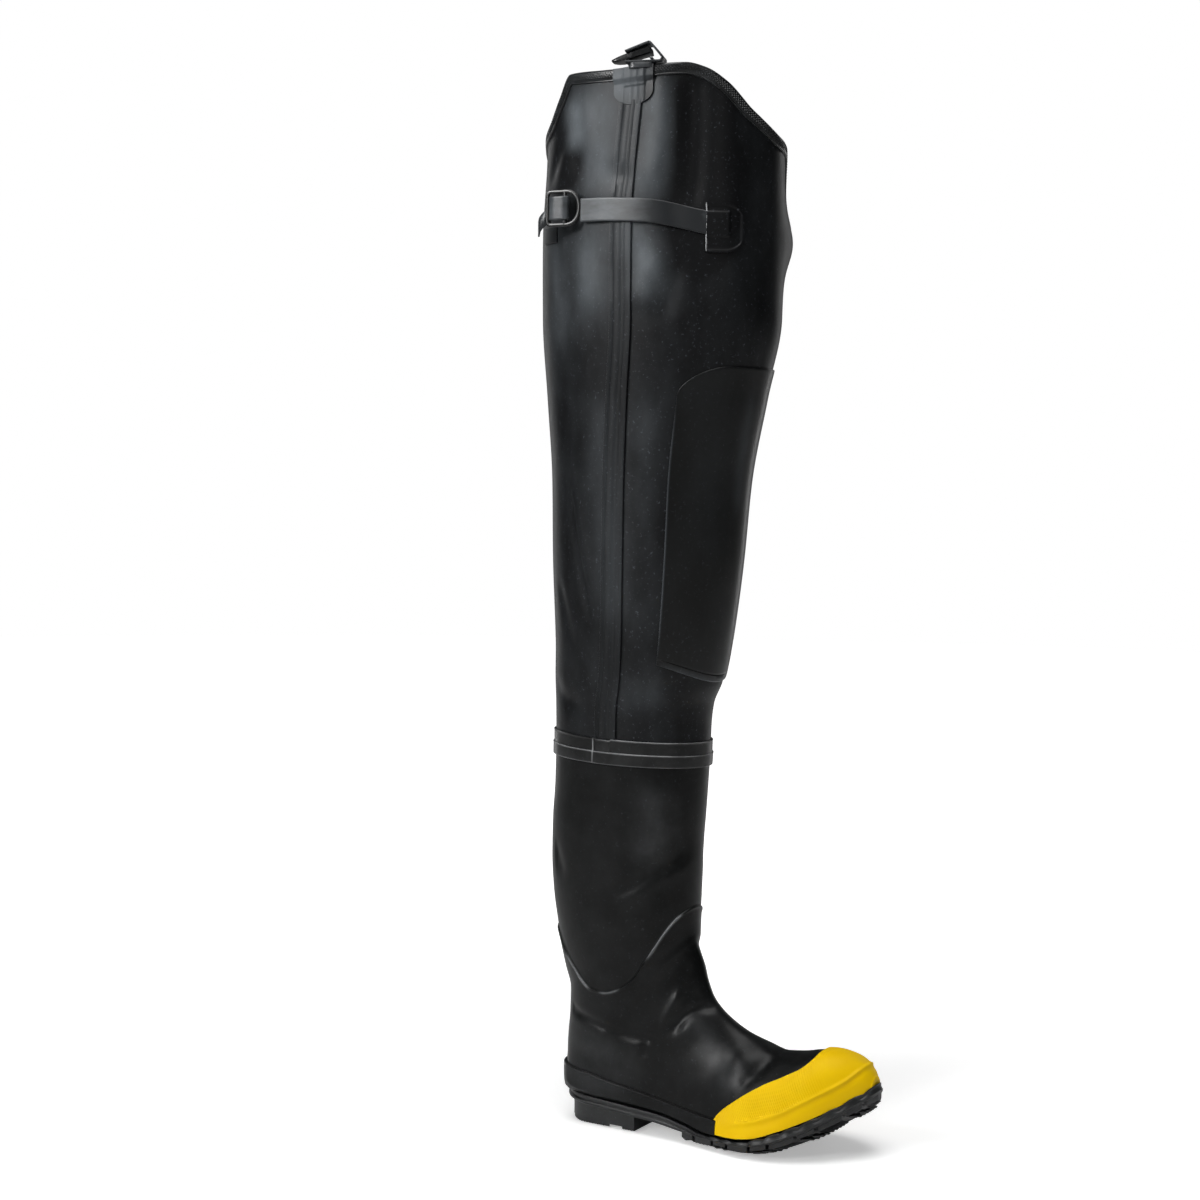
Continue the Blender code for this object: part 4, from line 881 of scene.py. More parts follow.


# Calendered rubber, hand laid and cured in one mould: smooth, black, with a soft waxy gloss; its pale tone
# carries the painted light on the foot and the painted highlight along the vamp's edge
CALF_RUBBER = RubberFinish("moulded_calf_rubber", "060707", "66686a", 0.38, rough_change=0.0,
                           bloom=0.045, cloud_mm=32, grain_depth_mm=0.02, wave_mm=22, wave_depth_mm=0.3,
                           specular=0.17, coat=0.04, coat_rough=0.2, dust=0.08)
# Rubber coated cloth: thin, matt, with the pale bloom that wax leaves as it comes to the surface, in clouds;
# its pale tone also carries the painted light and painted shade on the shaft
SHAFT_RUBBER = RubberFinish("rubberised_shaft_cloth", "07080a", "585d61", 0.42, rough_change=0.16,
                            bloom=0.12, cloud_mm=42, streak=1.7, grain_mm=1.8, grain_depth_mm=0.03,
                            wave_mm=38, wave_depth_mm=0.7, specular=0.22, dust=0.22)
# Knee patch: a second skin of the same coated cloth, newer and smoother than the shaft; its pale tone carries
# the painted highlights along its edges and the painted sheen on its front
PATCH_RUBBER = RubberFinish("patch_rubber", "080909", "5e6368", 0.34, rough_change=0.0, bloom=0.06,
                            cloud_mm=60, streak=2.5, grain_depth_mm=0.02, wave_mm=40, wave_depth_mm=0.4,
                            specular=0.28, dust=0.10)
# Reinforcing tape and tab: calendered strip, paler in long clouds, with the painted light and painted shade
# of the shaft and the tab
TAPE_RUBBER = RubberFinish("rolled_tape_rubber", "090b0d", "5b6064", 0.42, bloom=0.11, cloud_mm=40,
                           streak=4.0, grain_depth_mm=0.02, specular=0.24, dust=0.20)
# Joint band: fresh calendered strip, deep black and glossier than the calf; its pale tone is for the painted
# highlights on the band's edges and on the pad's slit
BAND_RUBBER = RubberFinish("calendered_band_rubber", "060707", "a4a6a8", 0.30, rough_change=0.0,
                           bloom=0.03, cloud_mm=20, grain_depth_mm=0.02, wave_mm=14, wave_depth_mm=0.3,
                           specular=0.4, dust=0.1)
# Folded strip over the rim: the same rubber, glossier and darker on its embossed grain
BINDING_RUBBER = RubberFinish("embossed_binding_rubber", "0c0d0e", "3c4043", 0.30, bloom=0.3, cloud_mm=15,
                              grain_mm=1.2, grain_depth_mm=0.03, specular=0.4, dust=0.15)
# Compression moulded sole rubber: dense, a little dusty, with satin facets
SOLE_RUBBER = RubberFinish("compression_moulded_sole_rubber", "0e0f10", "333536", 0.40, bloom=0.4,
                           cloud_mm=14, grain_mm=1.5, grain_depth_mm=0.04, dust=0.12)
# Dyed toe rubber: opaque strong yellow, satin from the mould
CAP_RUBBER = RubberFinish("yellow_toe_rubber", "f2c400", "f8cf00", 0.46, rough_change=0.1, bloom=0.5,
                          cloud_mm=25, grain_mm=1.6, grain_depth_mm=0.02, wave_mm=18, wave_depth_mm=0.08,
                          specular=0.12, rib_mm=1.7)
# Pressed fibre board under the foot: dry and felted
INSOLE_BOARD = RubberFinish("pressed_fibre_board", "45423d", "5a564f", 0.85, cloud_mm=8, grain_mm=0.8,
                            grain_depth_mm=0.1)
# Flat moulded strap rubber: satin, paler in clouds, with painted light and painted shade along the thigh
# strap and a painted highlight on its folded end
STRAP_RUBBER = RubberFinish("extruded_strap_rubber", "14171a", "62676b", 0.38, bloom=0.35, cloud_mm=35,
                            streak=0.4, grain_depth_mm=0.01, wave_depth_mm=0.2)
# Injection moulded acetal: hard, black, with a low sheen
BUCKLE_PLASTIC = RubberFinish("moulded_acetal", "0b0c0d", "242627", 0.30, bloom=0.2, cloud_mm=10,
                              grain_mm=0.7, grain_depth_mm=0.01, specular=0.55)


@dataclass(frozen=True)
class SteelFinish:
    """Drawn steel wire with fine lines along it."""

    name: str = "nickelled_steel_wire"
    tone: str = "c6c8c9"
    rough: float = 0.28
    line_mm: float = 0.8
    line_depth_mm: float = 0.01

    def build(self) -> Material:
        """Make the material from its nodes."""
        made, tree, shader, where = start_material(self.name)
        lines = add(tree, "ShaderNodeTexNoise", inputs={
            "Vector": where, "Scale": 1 / (self.line_mm * MM), "Detail": 2.0}).outputs["Fac"]
        rough = add(tree, "ShaderNodeMapRange", inputs={
            "Value": lines, "From Min": 0.3, "From Max": 0.7,
            "To Min": self.rough - 0.08, "To Max": self.rough + 0.12})
        bump = add(tree, "ShaderNodeBump", inputs={
            "Strength": 1.0, "Distance": self.line_depth_mm * MM, "Height": lines})
        fill(tree, shader, {"Roughness": rough.outputs["Result"], "Normal": bump.outputs["Normal"],
                            "Base Color": linear(self.tone), "Metallic": 1.0})
        return made


@dataclass(frozen=True)
class KnitFinish:
    """Cotton jersey that lines the boot: small loops in rows, dull and soft."""

    name: str = "jersey_lining"
    tone: str = "6b6c68"
    shade: str = "474845"
    loop_mm: float = 1.6
    loop_depth_mm: float = 0.3

    def build(self) -> Material:
        """Make the material from its nodes."""
        made, tree, shader, where = start_material(self.name)
        rows = add(tree, "ShaderNodeTexWave", {"wave_type": "BANDS", "bands_direction": "Z"}, {
            "Vector": where, "Scale": 1 / (2 * math.pi * self.loop_mm * MM) * 1.2, "Distortion": 1.5})
        loops = add(tree, "ShaderNodeTexVoronoi", inputs={
            "Vector": where, "Scale": 1 / (self.loop_mm * MM)}).outputs["Distance"]
        height = add(tree, "ShaderNodeMath", {"operation": "ADD"}, {
            "Value": rows.outputs["Fac"], "Value_001": loops})
        colour = add(tree, "ShaderNodeMix", {"data_type": "RGBA"}, {
            "Factor_Float": loops, "A_Color": linear(self.tone), "B_Color": linear(self.shade)})
        bump = add(tree, "ShaderNodeBump", inputs={
            "Strength": 0.8, "Distance": self.loop_depth_mm * MM, "Height": height.outputs["Value"]})
        fill(tree, shader, {"Base Color": colour.outputs[2], "Normal": bump.outputs["Normal"],
                            "Roughness": 0.92})
        return made


# Repeated small forms, by Geometry Nodes


class Stud(Enum):
    """Small forms that repeat over a surface."""

    PYRAMID = (4, 0.0)
    BLOCK = (4, 0.72)
    DOME = (10, 0.55)


def studs(name: str, places: Array, stud: Stud, size: tuple[float, float, float], material: Material,
          facing: Array | None = None) -> Piece:
    """Copies of one small form on points, made by a Geometry Nodes tree.

    Args:
        name: The piece's name.
        places: Points that they stand on.
        stud: The small form.
        size: Half its width, its height, and its length over its width.
        material: Its finish.
        facing: Directions that they point in, or none where they hang down.

    Returns:
        The piece.
    """
    if facing is None:
        tilts = [(math.pi, 0.0, 0.0)] * len(places)
    else:
        tilts = [tuple(Vector(one).to_track_quat("Z", "Y").to_euler()) for one in facing]
    mesh = bpy.data.meshes.new(name)
    mesh.from_pydata(places.tolist(), [], [])
    mesh.attributes.new("turn", "FLOAT_VECTOR", "POINT").data.foreach_set(
        "vector", np.asarray(tilts, np.float32).ravel())
    holder = bpy.data.objects.new(name, mesh)
    bpy.context.scene.collection.objects.link(holder)
    tree = bpy.data.node_groups.new(f"{name}_studs", "GeometryNodeTree")
    face = tree.interface
    face.new_socket("Geometry", in_out="INPUT", socket_type="NodeSocketGeometry")
    named = {}
    for label, value in zip(("Radius", "Height", "Stretch"), size):
        named[face.new_socket(label, in_out="INPUT", socket_type="NodeSocketFloat").identifier] = value
    face.new_socket("Geometry", in_out="OUTPUT", socket_type="NodeSocketGeometry")
    given = add(tree, "NodeGroupInput").outputs
    sides, share = stud.value
    narrow = add(tree, "ShaderNodeMath", {"operation": "MULTIPLY"}, {
        "Value": given["Radius"], "Value_001": share})
    cone = add(tree, "GeometryNodeMeshCone", inputs={
        "Vertices": sides, "Radius Top": narrow.outputs["Value"], "Radius Bottom": given["Radius"],
        "Depth": given["Height"]})
    turn = add(tree, "GeometryNodeInputNamedAttribute", {"data_type": "FLOAT_VECTOR"}, {"Name": "turn"})
    wide = add(tree, "ShaderNodeCombineXYZ", inputs={"X": given["Stretch"], "Y": 1.0, "Z": 1.0})
    spread = add(tree, "GeometryNodeInstanceOnPoints", inputs={
        "Points": given["Geometry"], "Instance": cone.outputs["Mesh"],
        "Rotation": turn.outputs["Attribute"], "Scale": wide.outputs["Vector"]})
    real = add(tree, "GeometryNodeRealizeInstances", inputs={"Geometry": spread.outputs["Instances"]})
    dressed = add(tree, "GeometryNodeSetMaterial", inputs={
        "Geometry": real.outputs["Geometry"], "Material": material})
    add(tree, "NodeGroupOutput", inputs={"Geometry": dressed.outputs["Geometry"]})
    modifier = holder.modifiers.new("Studs", "NODES")
    modifier.node_group = tree
    for identifier, value in named.items():
        modifier[identifier] = value
    made = bpy.data.meshes.new_from_object(holder.evaluated_get(bpy.context.evaluated_depsgraph_get()))
    holder.modifiers.clear()
    holder.data = made
    if not made.materials:
        made.materials.append(material)
    dress(holder, ())
    return holder


# Soft forms of the calf and the foot: troughs are negative, ridges positive, in millimetres
FOOT_MARKS = (
    Mark(((41, -47, 205), (54, -44, 210), (65, -40, 218), (78, -34, 228), (90, -23, 235), (97, -12, 242)),
         -1.5, 7.5),
    Mark(((38, -46, 196), (54, -44, 201), (65, -40, 208), (78, -34, 218), (90, -22, 225), (97, -11, 232)),
         0.8, 6.0),
    Mark(((86, -31, 289), (89, -24, 256), (94, -15, 237)), -1.8, 7.0),
    Mark(((74, -41, 293), (80, -34, 268), (74, -38, 248)), 1.6, 15.0),
    Mark(((-24, -34, 236), (-15, -39, 217)), -1.5, 8.0),
    Mark(((-8, -28, 99), (-5, -31, 97), (12, -38, 93), (26, -39, 89), (41, -36, 85), (55, -33, 82),
          (70, -31, 82), (76, -30, 83)), -1.9, 4.2),
    Mark(((-5, -31, 90), (12, -38, 86), (26, -39, 82), (41, -36, 78), (55, -33, 75)), 0.5, 6.0),
    Mark(((80, -28, 92), (86, -26, 106), (96, -20, 126)), 2.0, 3.6),
    Mark(((88, -24, 88), (95, -25, 97), (100, -22, 104), (107, -18, 109), (115, -13, 112), (123, -8, 111)),
         -2.2, 4.5),
    Mark(((100, -26, 90), (110, -24, 98), (120, -14, 101)), 1.6, 9.0),
    Mark(((71, -30, 85), (65, -32, 67)), -1.2, 5.0),
    Mark(((157, -33, 54), (167, -29, 63), (172, -22, 71), (177, -13, 78)), -1.6, 6.0),
    Mark(((140, -34, 52), (148, -30, 66), (156, -20, 80)), 1.2, 8.0),
    Mark(((-8, 28, 99), (12, 38, 93), (26, 39, 89), (41, 36, 85), (55, 33, 82), (72, 31, 83)), -1.7, 4.2),
    Mark(((88, 24, 88), (97, 24, 98), (107, 19, 107), (118, 12, 110)), -1.8, 5.0),
    Mark(((50, 46, 214), (66, 40, 220), (82, 31, 230), (93, 18, 238)), -2.0, 7.0),
    Mark(((-30, 0, 150), (-27, 14, 140), (-14, 32, 132)), -1.0, 7.0),
)
# Painted light on the foot's colour: pale patches where light falls on the calf's bulge, along the vamp and
# round the heel
FOOT_PAINTED_LIGHT = (
    Mark(((74, -41, 293), (80, -34, 265), (65, -41, 232)), 0.14, 16.0),
    Mark(((104, -24, 92), (120, -24, 84), (140, -30, 62), (150, -33, 52)), 0.12, 13.0),
    Mark(((0, -36, 78), (20, -42, 66), (50, -38, 55)), 0.12, 18.0),
    Mark(((-20, -20, 80), (-24, -18, 60)), 0.14, 12.0),
    Mark(((-22, -24, 44), (10, -38, 40), (50, -40, 36)), 0.10, 10.0),
)
SHAFT_MARKS = (
    Mark(((0, -67, 850), (-15, -59, 827), (-26, -52, 806)), -1.3, 8.0),
    Mark(((12, -71, 824),), -0.9, 10.0),
    Mark(((46, -77, 808), (65, -79, 803)), -1.2, 10.0),
    Mark(((21, -74, 866), (26, -75, 845), (24, -75, 830)), 1.5, 11.0),
    Mark(((96, -72, 886), (97, -72, 868), (97, -72, 845), (92, -73, 815), (86, -75, 790)), 3.4, 13.0),
    Mark(((118, -63, 892), (120, -62, 870), (121, -62, 850), (119, -63, 800), (112, -66, 755)), -4.2, 12.0),
    Mark(((140, -45, 800), (146, -38, 740), (140, -42, 690)), 1.5, 16.0),
    Mark(((91, -72, 735), (84, -74, 718), (78, -75, 700)), 1.8, 11.0),
    Mark(((110, -66, 735), (103, -68, 712), (97, -70, 690)), -1.6, 10.0),
    Mark(((30, -75, 728), (30, -75, 705)), 1.2, 11.0),
    Mark(((-1, -58, 556), (4, -59, 525), (11, -60, 492), (19, -60, 460), (26, -60, 425)), -1.6, 5.0),
    Mark(((6, -60, 556), (12, -61, 525), (19, -61, 492), (26, -61, 460)), 1.0, 5.5),
    Mark(((-20, -48, 470), (-8, -53, 440), (2, -55, 410)), -1.2, 6.0),
    Mark(((-30, -30, 380), (-12, -46, 368), (10, -53, 362)), -1.5, 8.0),
    Mark(((60, -54, 372), (80, -46, 380), (98, -32, 384)), -2.0, 8.0),
    Mark(((98, 10, 384), (94, 30, 380), (80, 46, 374)), -1.8, 8.0),
    Mark(((62, 76, 820), (100, 66, 812)), -2.0, 12.0),
    Mark(((20, 72, 700), (30, 74, 640), (36, 72, 580)), -1.8, 10.0),
    Mark(((-50, -10, 700), (-52, 6, 640), (-48, 12, 590)), -1.8, 9.0),
    Mark(((-40, 20, 500), (-20, 44, 470), (0, 54, 450)), -1.8, 8.0),
)
# Pale and dark marks on the shaft's colour: painted light on the lit patches of the upper outer side and on
# the long creases, painted shade in the dent above the strap and in the dark valley towards the front; the
# four short narrow marks at the end are scuffs
SHAFT_PAINTED_LIGHT_AND_SCUFFS = (
    Mark(((4, -68, 872), (10, -70, 850), (8, -69, 835)), 0.75, 11.0),
    Mark(((28, -75, 876), (32, -76, 850), (36, -76, 820), (38, -76, 795)), 0.55, 22.0),
    Mark(((12, -71, 822), (6, -68, 812)), -0.3, 13.0),
    Mark(((88, -74, 876), (90, -74, 850), (88, -74, 812), (80, -76, 780)), 0.50, 15.0),
    Mark(((70, -78, 776), (76, -77, 752), (84, -75, 728), (82, -75, 700)), 0.60, 15.0),
    Mark(((34, -77, 770), (30, -77, 740), (30, -75, 700)), 0.50, 20.0),
    Mark(((-10, -62, 770), (-8, -62, 720), (-4, -60, 660)), 0.25, 16.0),
    Mark(((122, -62, 884), (126, -60, 840), (128, -58, 780), (124, -60, 730)), -0.6, 18.0),
    Mark(((40, -72, 640), (44, -70, 560), (48, -66, 480), (50, -62, 420)), 0.16, 16.0),
    Mark(((80, -66, 640), (78, -64, 560), (72, -62, 480)), 0.12, 12.0),
    Mark(((60, -60, 372), (84, -48, 378)), 0.25, 14.0),
    Mark(((121, -62, 812), (128, -59, 804)), 0.8, 1.6),
    Mark(((119, -62, 822), (121, -62, 815)), 0.8, 1.4),
    Mark(((134, -22, 568), (134, -22, 562)), 0.8, 1.2),
    Mark(((119, -42, 556), (121, -40, 551)), 0.7, 1.2),
)


def settle(form: BootForm, points: Array) -> Array:
    """Move points that lie on the shaft along with its soft folds."""
    middle, depth, width = form.leg(points[:, 2])
    out = np.stack([(points[:, 0] + form.shift_x - middle) / depth ** 2, points[:, 1] / width ** 2,
                    np.zeros(len(points))], axis=1)
    out = out / np.maximum(np.linalg.norm(out, axis=1, keepdims=True), 1e-12)
    return points + out * (marks_at(points, SHAFT_MARKS) * MM)[:, None]


@dataclass
class Upper:
    """Foot and calf in one hollow rubber wall, with the stepped vamp and its creases."""

    form: BootForm
    around: int = 168
    rows_below: int = 190
    rows_above: int = 84
    inner_rows: int = 40
    lip: float = 0.7 * MM
    plain_floor: float = 3.2
    # Millimetres under the vamp's edge, and lift there as a share of the lip
    edge: tuple[tuple[float, float], ...] = (
        (4.0, 0.0), (2.8, 0.25), (2.0, 0.75), (1.4, 1.0), (0.95, 0.85), (0.5, 0.2), (0.1, -0.8))
    # Stretches of the edge with a painted highlight: from, to, amount
    painted_highlight_edge: tuple[tuple[float, float, float], ...] = ((66, 100, 2.4), (-18, 20, 1.4), (24, 50, 0.6))

    @property
    def places(self) -> Array:
        """Places round each section."""
        return np.arange(self.around) * self.form.RING / self.around

    def outer(self) -> tuple[Array, Array]:
        """The outer grid, toe to joint, and how far each point stands off the plain form."""
        form = self.form
        step = form.sizes.vamp_step
        place = self.places
        xs, rises = columns(VAMP_LINE)

        def above_line(points: Array) -> Array:
            """Height over the vamp line."""
            return points[..., 2] - smooth(xs, rises, form.along(points)) * form.sizes.joint_height

        line = form.crossing(place, above_line)
        near = 0.04
        ahead = form.foot_point(line + near, place) - form.foot_point(line - near, place)
        speed = np.linalg.norm(ahead, axis=1)
        speed = speed / (2 * near)
        start = line + 0.8 * MM / speed
        rows = [(line - 4 * MM / speed) * share for share in np.linspace(0, 1, self.rows_below)[:-1]]
        rows += [line - down * MM / speed for down, _ in self.edge] + [line + 0.05 * MM / speed]
        rows += [start + (form.last - start) * share for share in np.linspace(0, 1, self.rows_above)]
        lifts = [step] * (self.rows_below - 1) + [step + lift * self.lip for _, lift in self.edge]
        lifts += [-0.1 * MM] + [0.0] * self.rows_above
        return form.foot_point(np.array(rows), place[None, :]), np.array(lifts)[:, None, None]

    def build(self, material: Material) -> Piece:
        """Make the wall, outside and inside."""
        form = self.form
        place = self.places
        grid, lifts = self.outer()
        creased = np.abs((place + form.HALF) % form.RING - form.HALF) >= self.plain_floor
        shaped = grid + outwards(grid, True) * (lifts + relief(grid, FOOT_MARKS) * creased[None, :, None])
        inner = form.foot_point(np.linspace(form.last, 0.6, self.inner_rows)[:, None], place[None, :])
        inner = inner - outwards(inner, True) * form.sizes.boot_wall
        inner[0, :, 2] = shaped[-1, :, 2]
        edge = shaped[self.rows_below + 3]
        # Painted highlight along stretches of the vamp's edge on the outer side
        painted_highlight = []
        for start, end, amount in self.painted_highlight_edge:
            stretch = (edge[:, 1] < -12 * MM) & (edge[:, 0] > start * MM) & (edge[:, 0] < end * MM)
            painted_highlight.append(Mark.along(edge[stretch][::3], amount, 1.1))
        return make_piece("upper_wall", Shape.tube(np.concatenate([shaped, inner])), material, ("upper",),
                          bloom=(*FOOT_PAINTED_LIGHT, *painted_highlight))

    def skin(self, rows: int = 200, around: int = 112) -> BVHTree:
        """The plain outer form, for pieces that lie on it."""
        place = np.linspace(0, self.form.RING, around + 1)[:-1]
        grid = self.form.foot_point(np.linspace(0, self.form.last, rows)[:, None], place[None, :])
        return BVHTree.FromPolygons(grid.reshape(-1, 3).tolist(),
                                    grid_faces(rows, around, close_columns=True))


@dataclass
class ToeCap:
    """Yellow moulded cap with a raised ridge round it."""

    form: BootForm
    columns_round: int = 190
    rows: int = 120
    thick: float = 1.6 * MM
    nose: float = 2.6 * MM
    ridge_height: float = 1.1 * MM
    ridge_width: float = 1.7 * MM
    floor_edge: float = 3.05

    def over_ridge(self, points: Array) -> Array:
        """Height over the ridge, which climbs towards the toe on both sides."""
        keys = np.array((130, 154, 175, 192, 221, 239, 251, 265)) * MM
        heights = np.array((19, 24.5, 30.5, 37, 54, 65, 75, 82)) * MM
        return points[..., 2] - smooth(keys, heights, points[..., 0])

    def ribbed(self, points: Array) -> Array:
        """The ribs' share: full above the ridge, none below it, and fading at the nose."""
        above = np.clip(self.over_ridge(points) / (2 * MM), 0, 1)
        return above * np.clip((232 * MM - points[..., 0]) / (22 * MM), 0, 1)

    def build(self, material: Material) -> Piece:
        """Make the cap as a shell on the foot."""
        form = self.form
        size = form.sizes
        place = np.linspace(self.floor_edge, form.RING - self.floor_edge, self.columns_round)
        along, rises = columns(CAP_LINE)

        def behind_line(points: Array) -> Array:
            """How far behind the cap's rear edge."""
            edge = smooth(rises, along, points[..., 2] / size.instep_height) * size.length
            return edge - (points[..., 0] + form.shift_x)

        line = form.crossing(place, behind_line)
        shares = np.concatenate([np.linspace(0, 0.985, self.rows), (0.993, 0.998, 1.0, 1.0)])
        grid = form.foot_point(shares[:, None] * line[None, :], place[None, :])
        normal = normals_of(grid[:-1], False)
        normal = np.concatenate([normal, normal[-1:]])
        if normal[self.rows // 2, self.columns_round // 2, 2] < 0:
            normal = -normal
        near = size.vamp_step + 1.2 * size.gap
        far = near + self.thick
        edge = np.full(len(shares), far)
        edge[-3:] = (far - 0.1 * MM, far - 0.45 * MM, near - 0.4 * MM)
        over = self.over_ridge(grid)
        ridge = bell(over, self.ridge_width) - 0.35 * bell(over + 4.2 * MM, 2.4 * MM)
        ridge = ridge * np.clip((grid[..., 0] - 138 * MM) / (45 * MM), 0, 1)
        top = grid + normal * (edge[:, None] + ridge * self.ridge_height)[..., None]
        under = grid + normal * near
        foot = grid[0, [0, -1]].mean(axis=0)
        front = []
        front_under = []
        for turn in np.linspace(math.pi / 2, 0, 9)[:-1]:
            for rings, edge_ring, push in ((front, top[0], 1.0), (front_under, under[0], 0.5)):
                ring = foot + (edge_ring - foot) * math.cos(turn)
                ring[:, 0] += self.nose * math.sin(turn) * push
                rings.append(ring)
        shape = Shape.slab(np.concatenate([front, top]), np.concatenate([front_under, under]))
        return make_piece("toe_cap_shell", shape, material, ("toe_cap",), sharp=50,
                          ribbed=self.ribbed)


@dataclass
class Foxing:
    """Raised strip round the rear and the sides of the foot."""

    form: BootForm
    skin: BVHTree
    thick: float = 1.5 * MM
    count: int = 260
    levels: int = 16
    reach: float = 0.575
    # Out of the strip's face and up, in millimetres, round its rolled upper edge
    roll: tuple[tuple[float, float], ...] = ((0.1, -1.2), (0.25, -0.5), (-0.15, 0.0), (-0.9, 0.25))

    def plan(self) -> Array:
        """Places round the foot, from the outer side over the heel to the inner side."""
        form = self.form
        along = 0.5 * (1 - np.cos(np.linspace(0, math.pi, 400)))
        along = along[along < self.reach]
        half, shift = form.half_width(along)
        xs = along * form.sizes.length - form.shift_x
        outer = np.stack([xs, shift - half], axis=1)[::-1]
        inner = np.stack([xs, shift + half], axis=1)[1:]
        line = np.concatenate([outer, inner])
        run = run_along(line)
        return read_at(np.linspace(0, run[-1], self.count), run, line)

    def on_foot(self, line: Array, inward: Array, lows: Array, tops: Array) -> tuple[Array, Array]:
        """The strip's grid dropped on the foot, and the level directions out of it."""
        grid = np.zeros((self.count, self.levels, 3))
        normal = np.zeros_like(grid)
        for i in range(self.count):
            start = line[i] - inward[i] * 30 * MM
            for k, share in enumerate(np.linspace(0, 1, self.levels)):
                z = lows[i] + (tops[i] - lows[i]) * share
                hit = self.skin.ray_cast(Vector((*start, z)), Vector((*inward[i], 0.0)))
                grid[i, k] = (*line[i], z) if hit[0] is None else hit[0]
                out = -inward[i] if hit[0] is None else np.array(hit[1])[:2]
                normal[i, k, :2] = out * np.sign(np.dot(out, -inward[i]) or 1)
        normal = normal / np.maximum(np.linalg.norm(normal, axis=2, keepdims=True), 1e-9)
        for _ in range(6):
            normal[1:-1] = (normal[:-2] + normal[1:-1] + normal[2:]) / 3
        return grid, normal / np.maximum(np.linalg.norm(normal, axis=2, keepdims=True), 1e-9)

    def build(self, material: Material) -> Piece:
        """Make the strip by dropping its grid on the foot."""
        form = self.form
        size = form.sizes
        line = self.plan()
        way = np.gradient(line, axis=0)
        way = way / np.linalg.norm(way, axis=1, keepdims=True)
        inward = np.stack([-way[:, 1], way[:, 0]], axis=1)
        if np.sum(inward * (np.array([line[:, 0].mean(), 0.0]) - line)) < 0:
            inward = -inward
        along = (line[:, 0] + form.shift_x) / size.length
        tops = smooth(*columns(FOXING_LINE), along) * size.instep_height
        lows = form.topside(np.clip(along, 0, 1)) + 0.5 * MM
        grid, normal = self.on_foot(line, inward, lows, tops)
        near = size.vamp_step - 0.4 * MM
        far = size.vamp_step + 3.5 * size.gap + self.thick
        rings = []
        for points, out in zip(grid, normal):
            ring = [points[k] + out[k] * far for k in range(self.levels - 1)]
            ring += [points[-1] + out[-1] * (far + lift * MM) + np.array([0, 0, up * MM])
                     for lift, up in self.roll]
            ring += [points[k] + out[k] * near for k in (self.levels - 1, self.levels // 2, 0)]
            rings.append(ring)
        return make_piece("foxing_strip", Shape.tube(rings), material, ("foxing",),
                          bloom=FOOT_PAINTED_LIGHT, sharp=50)


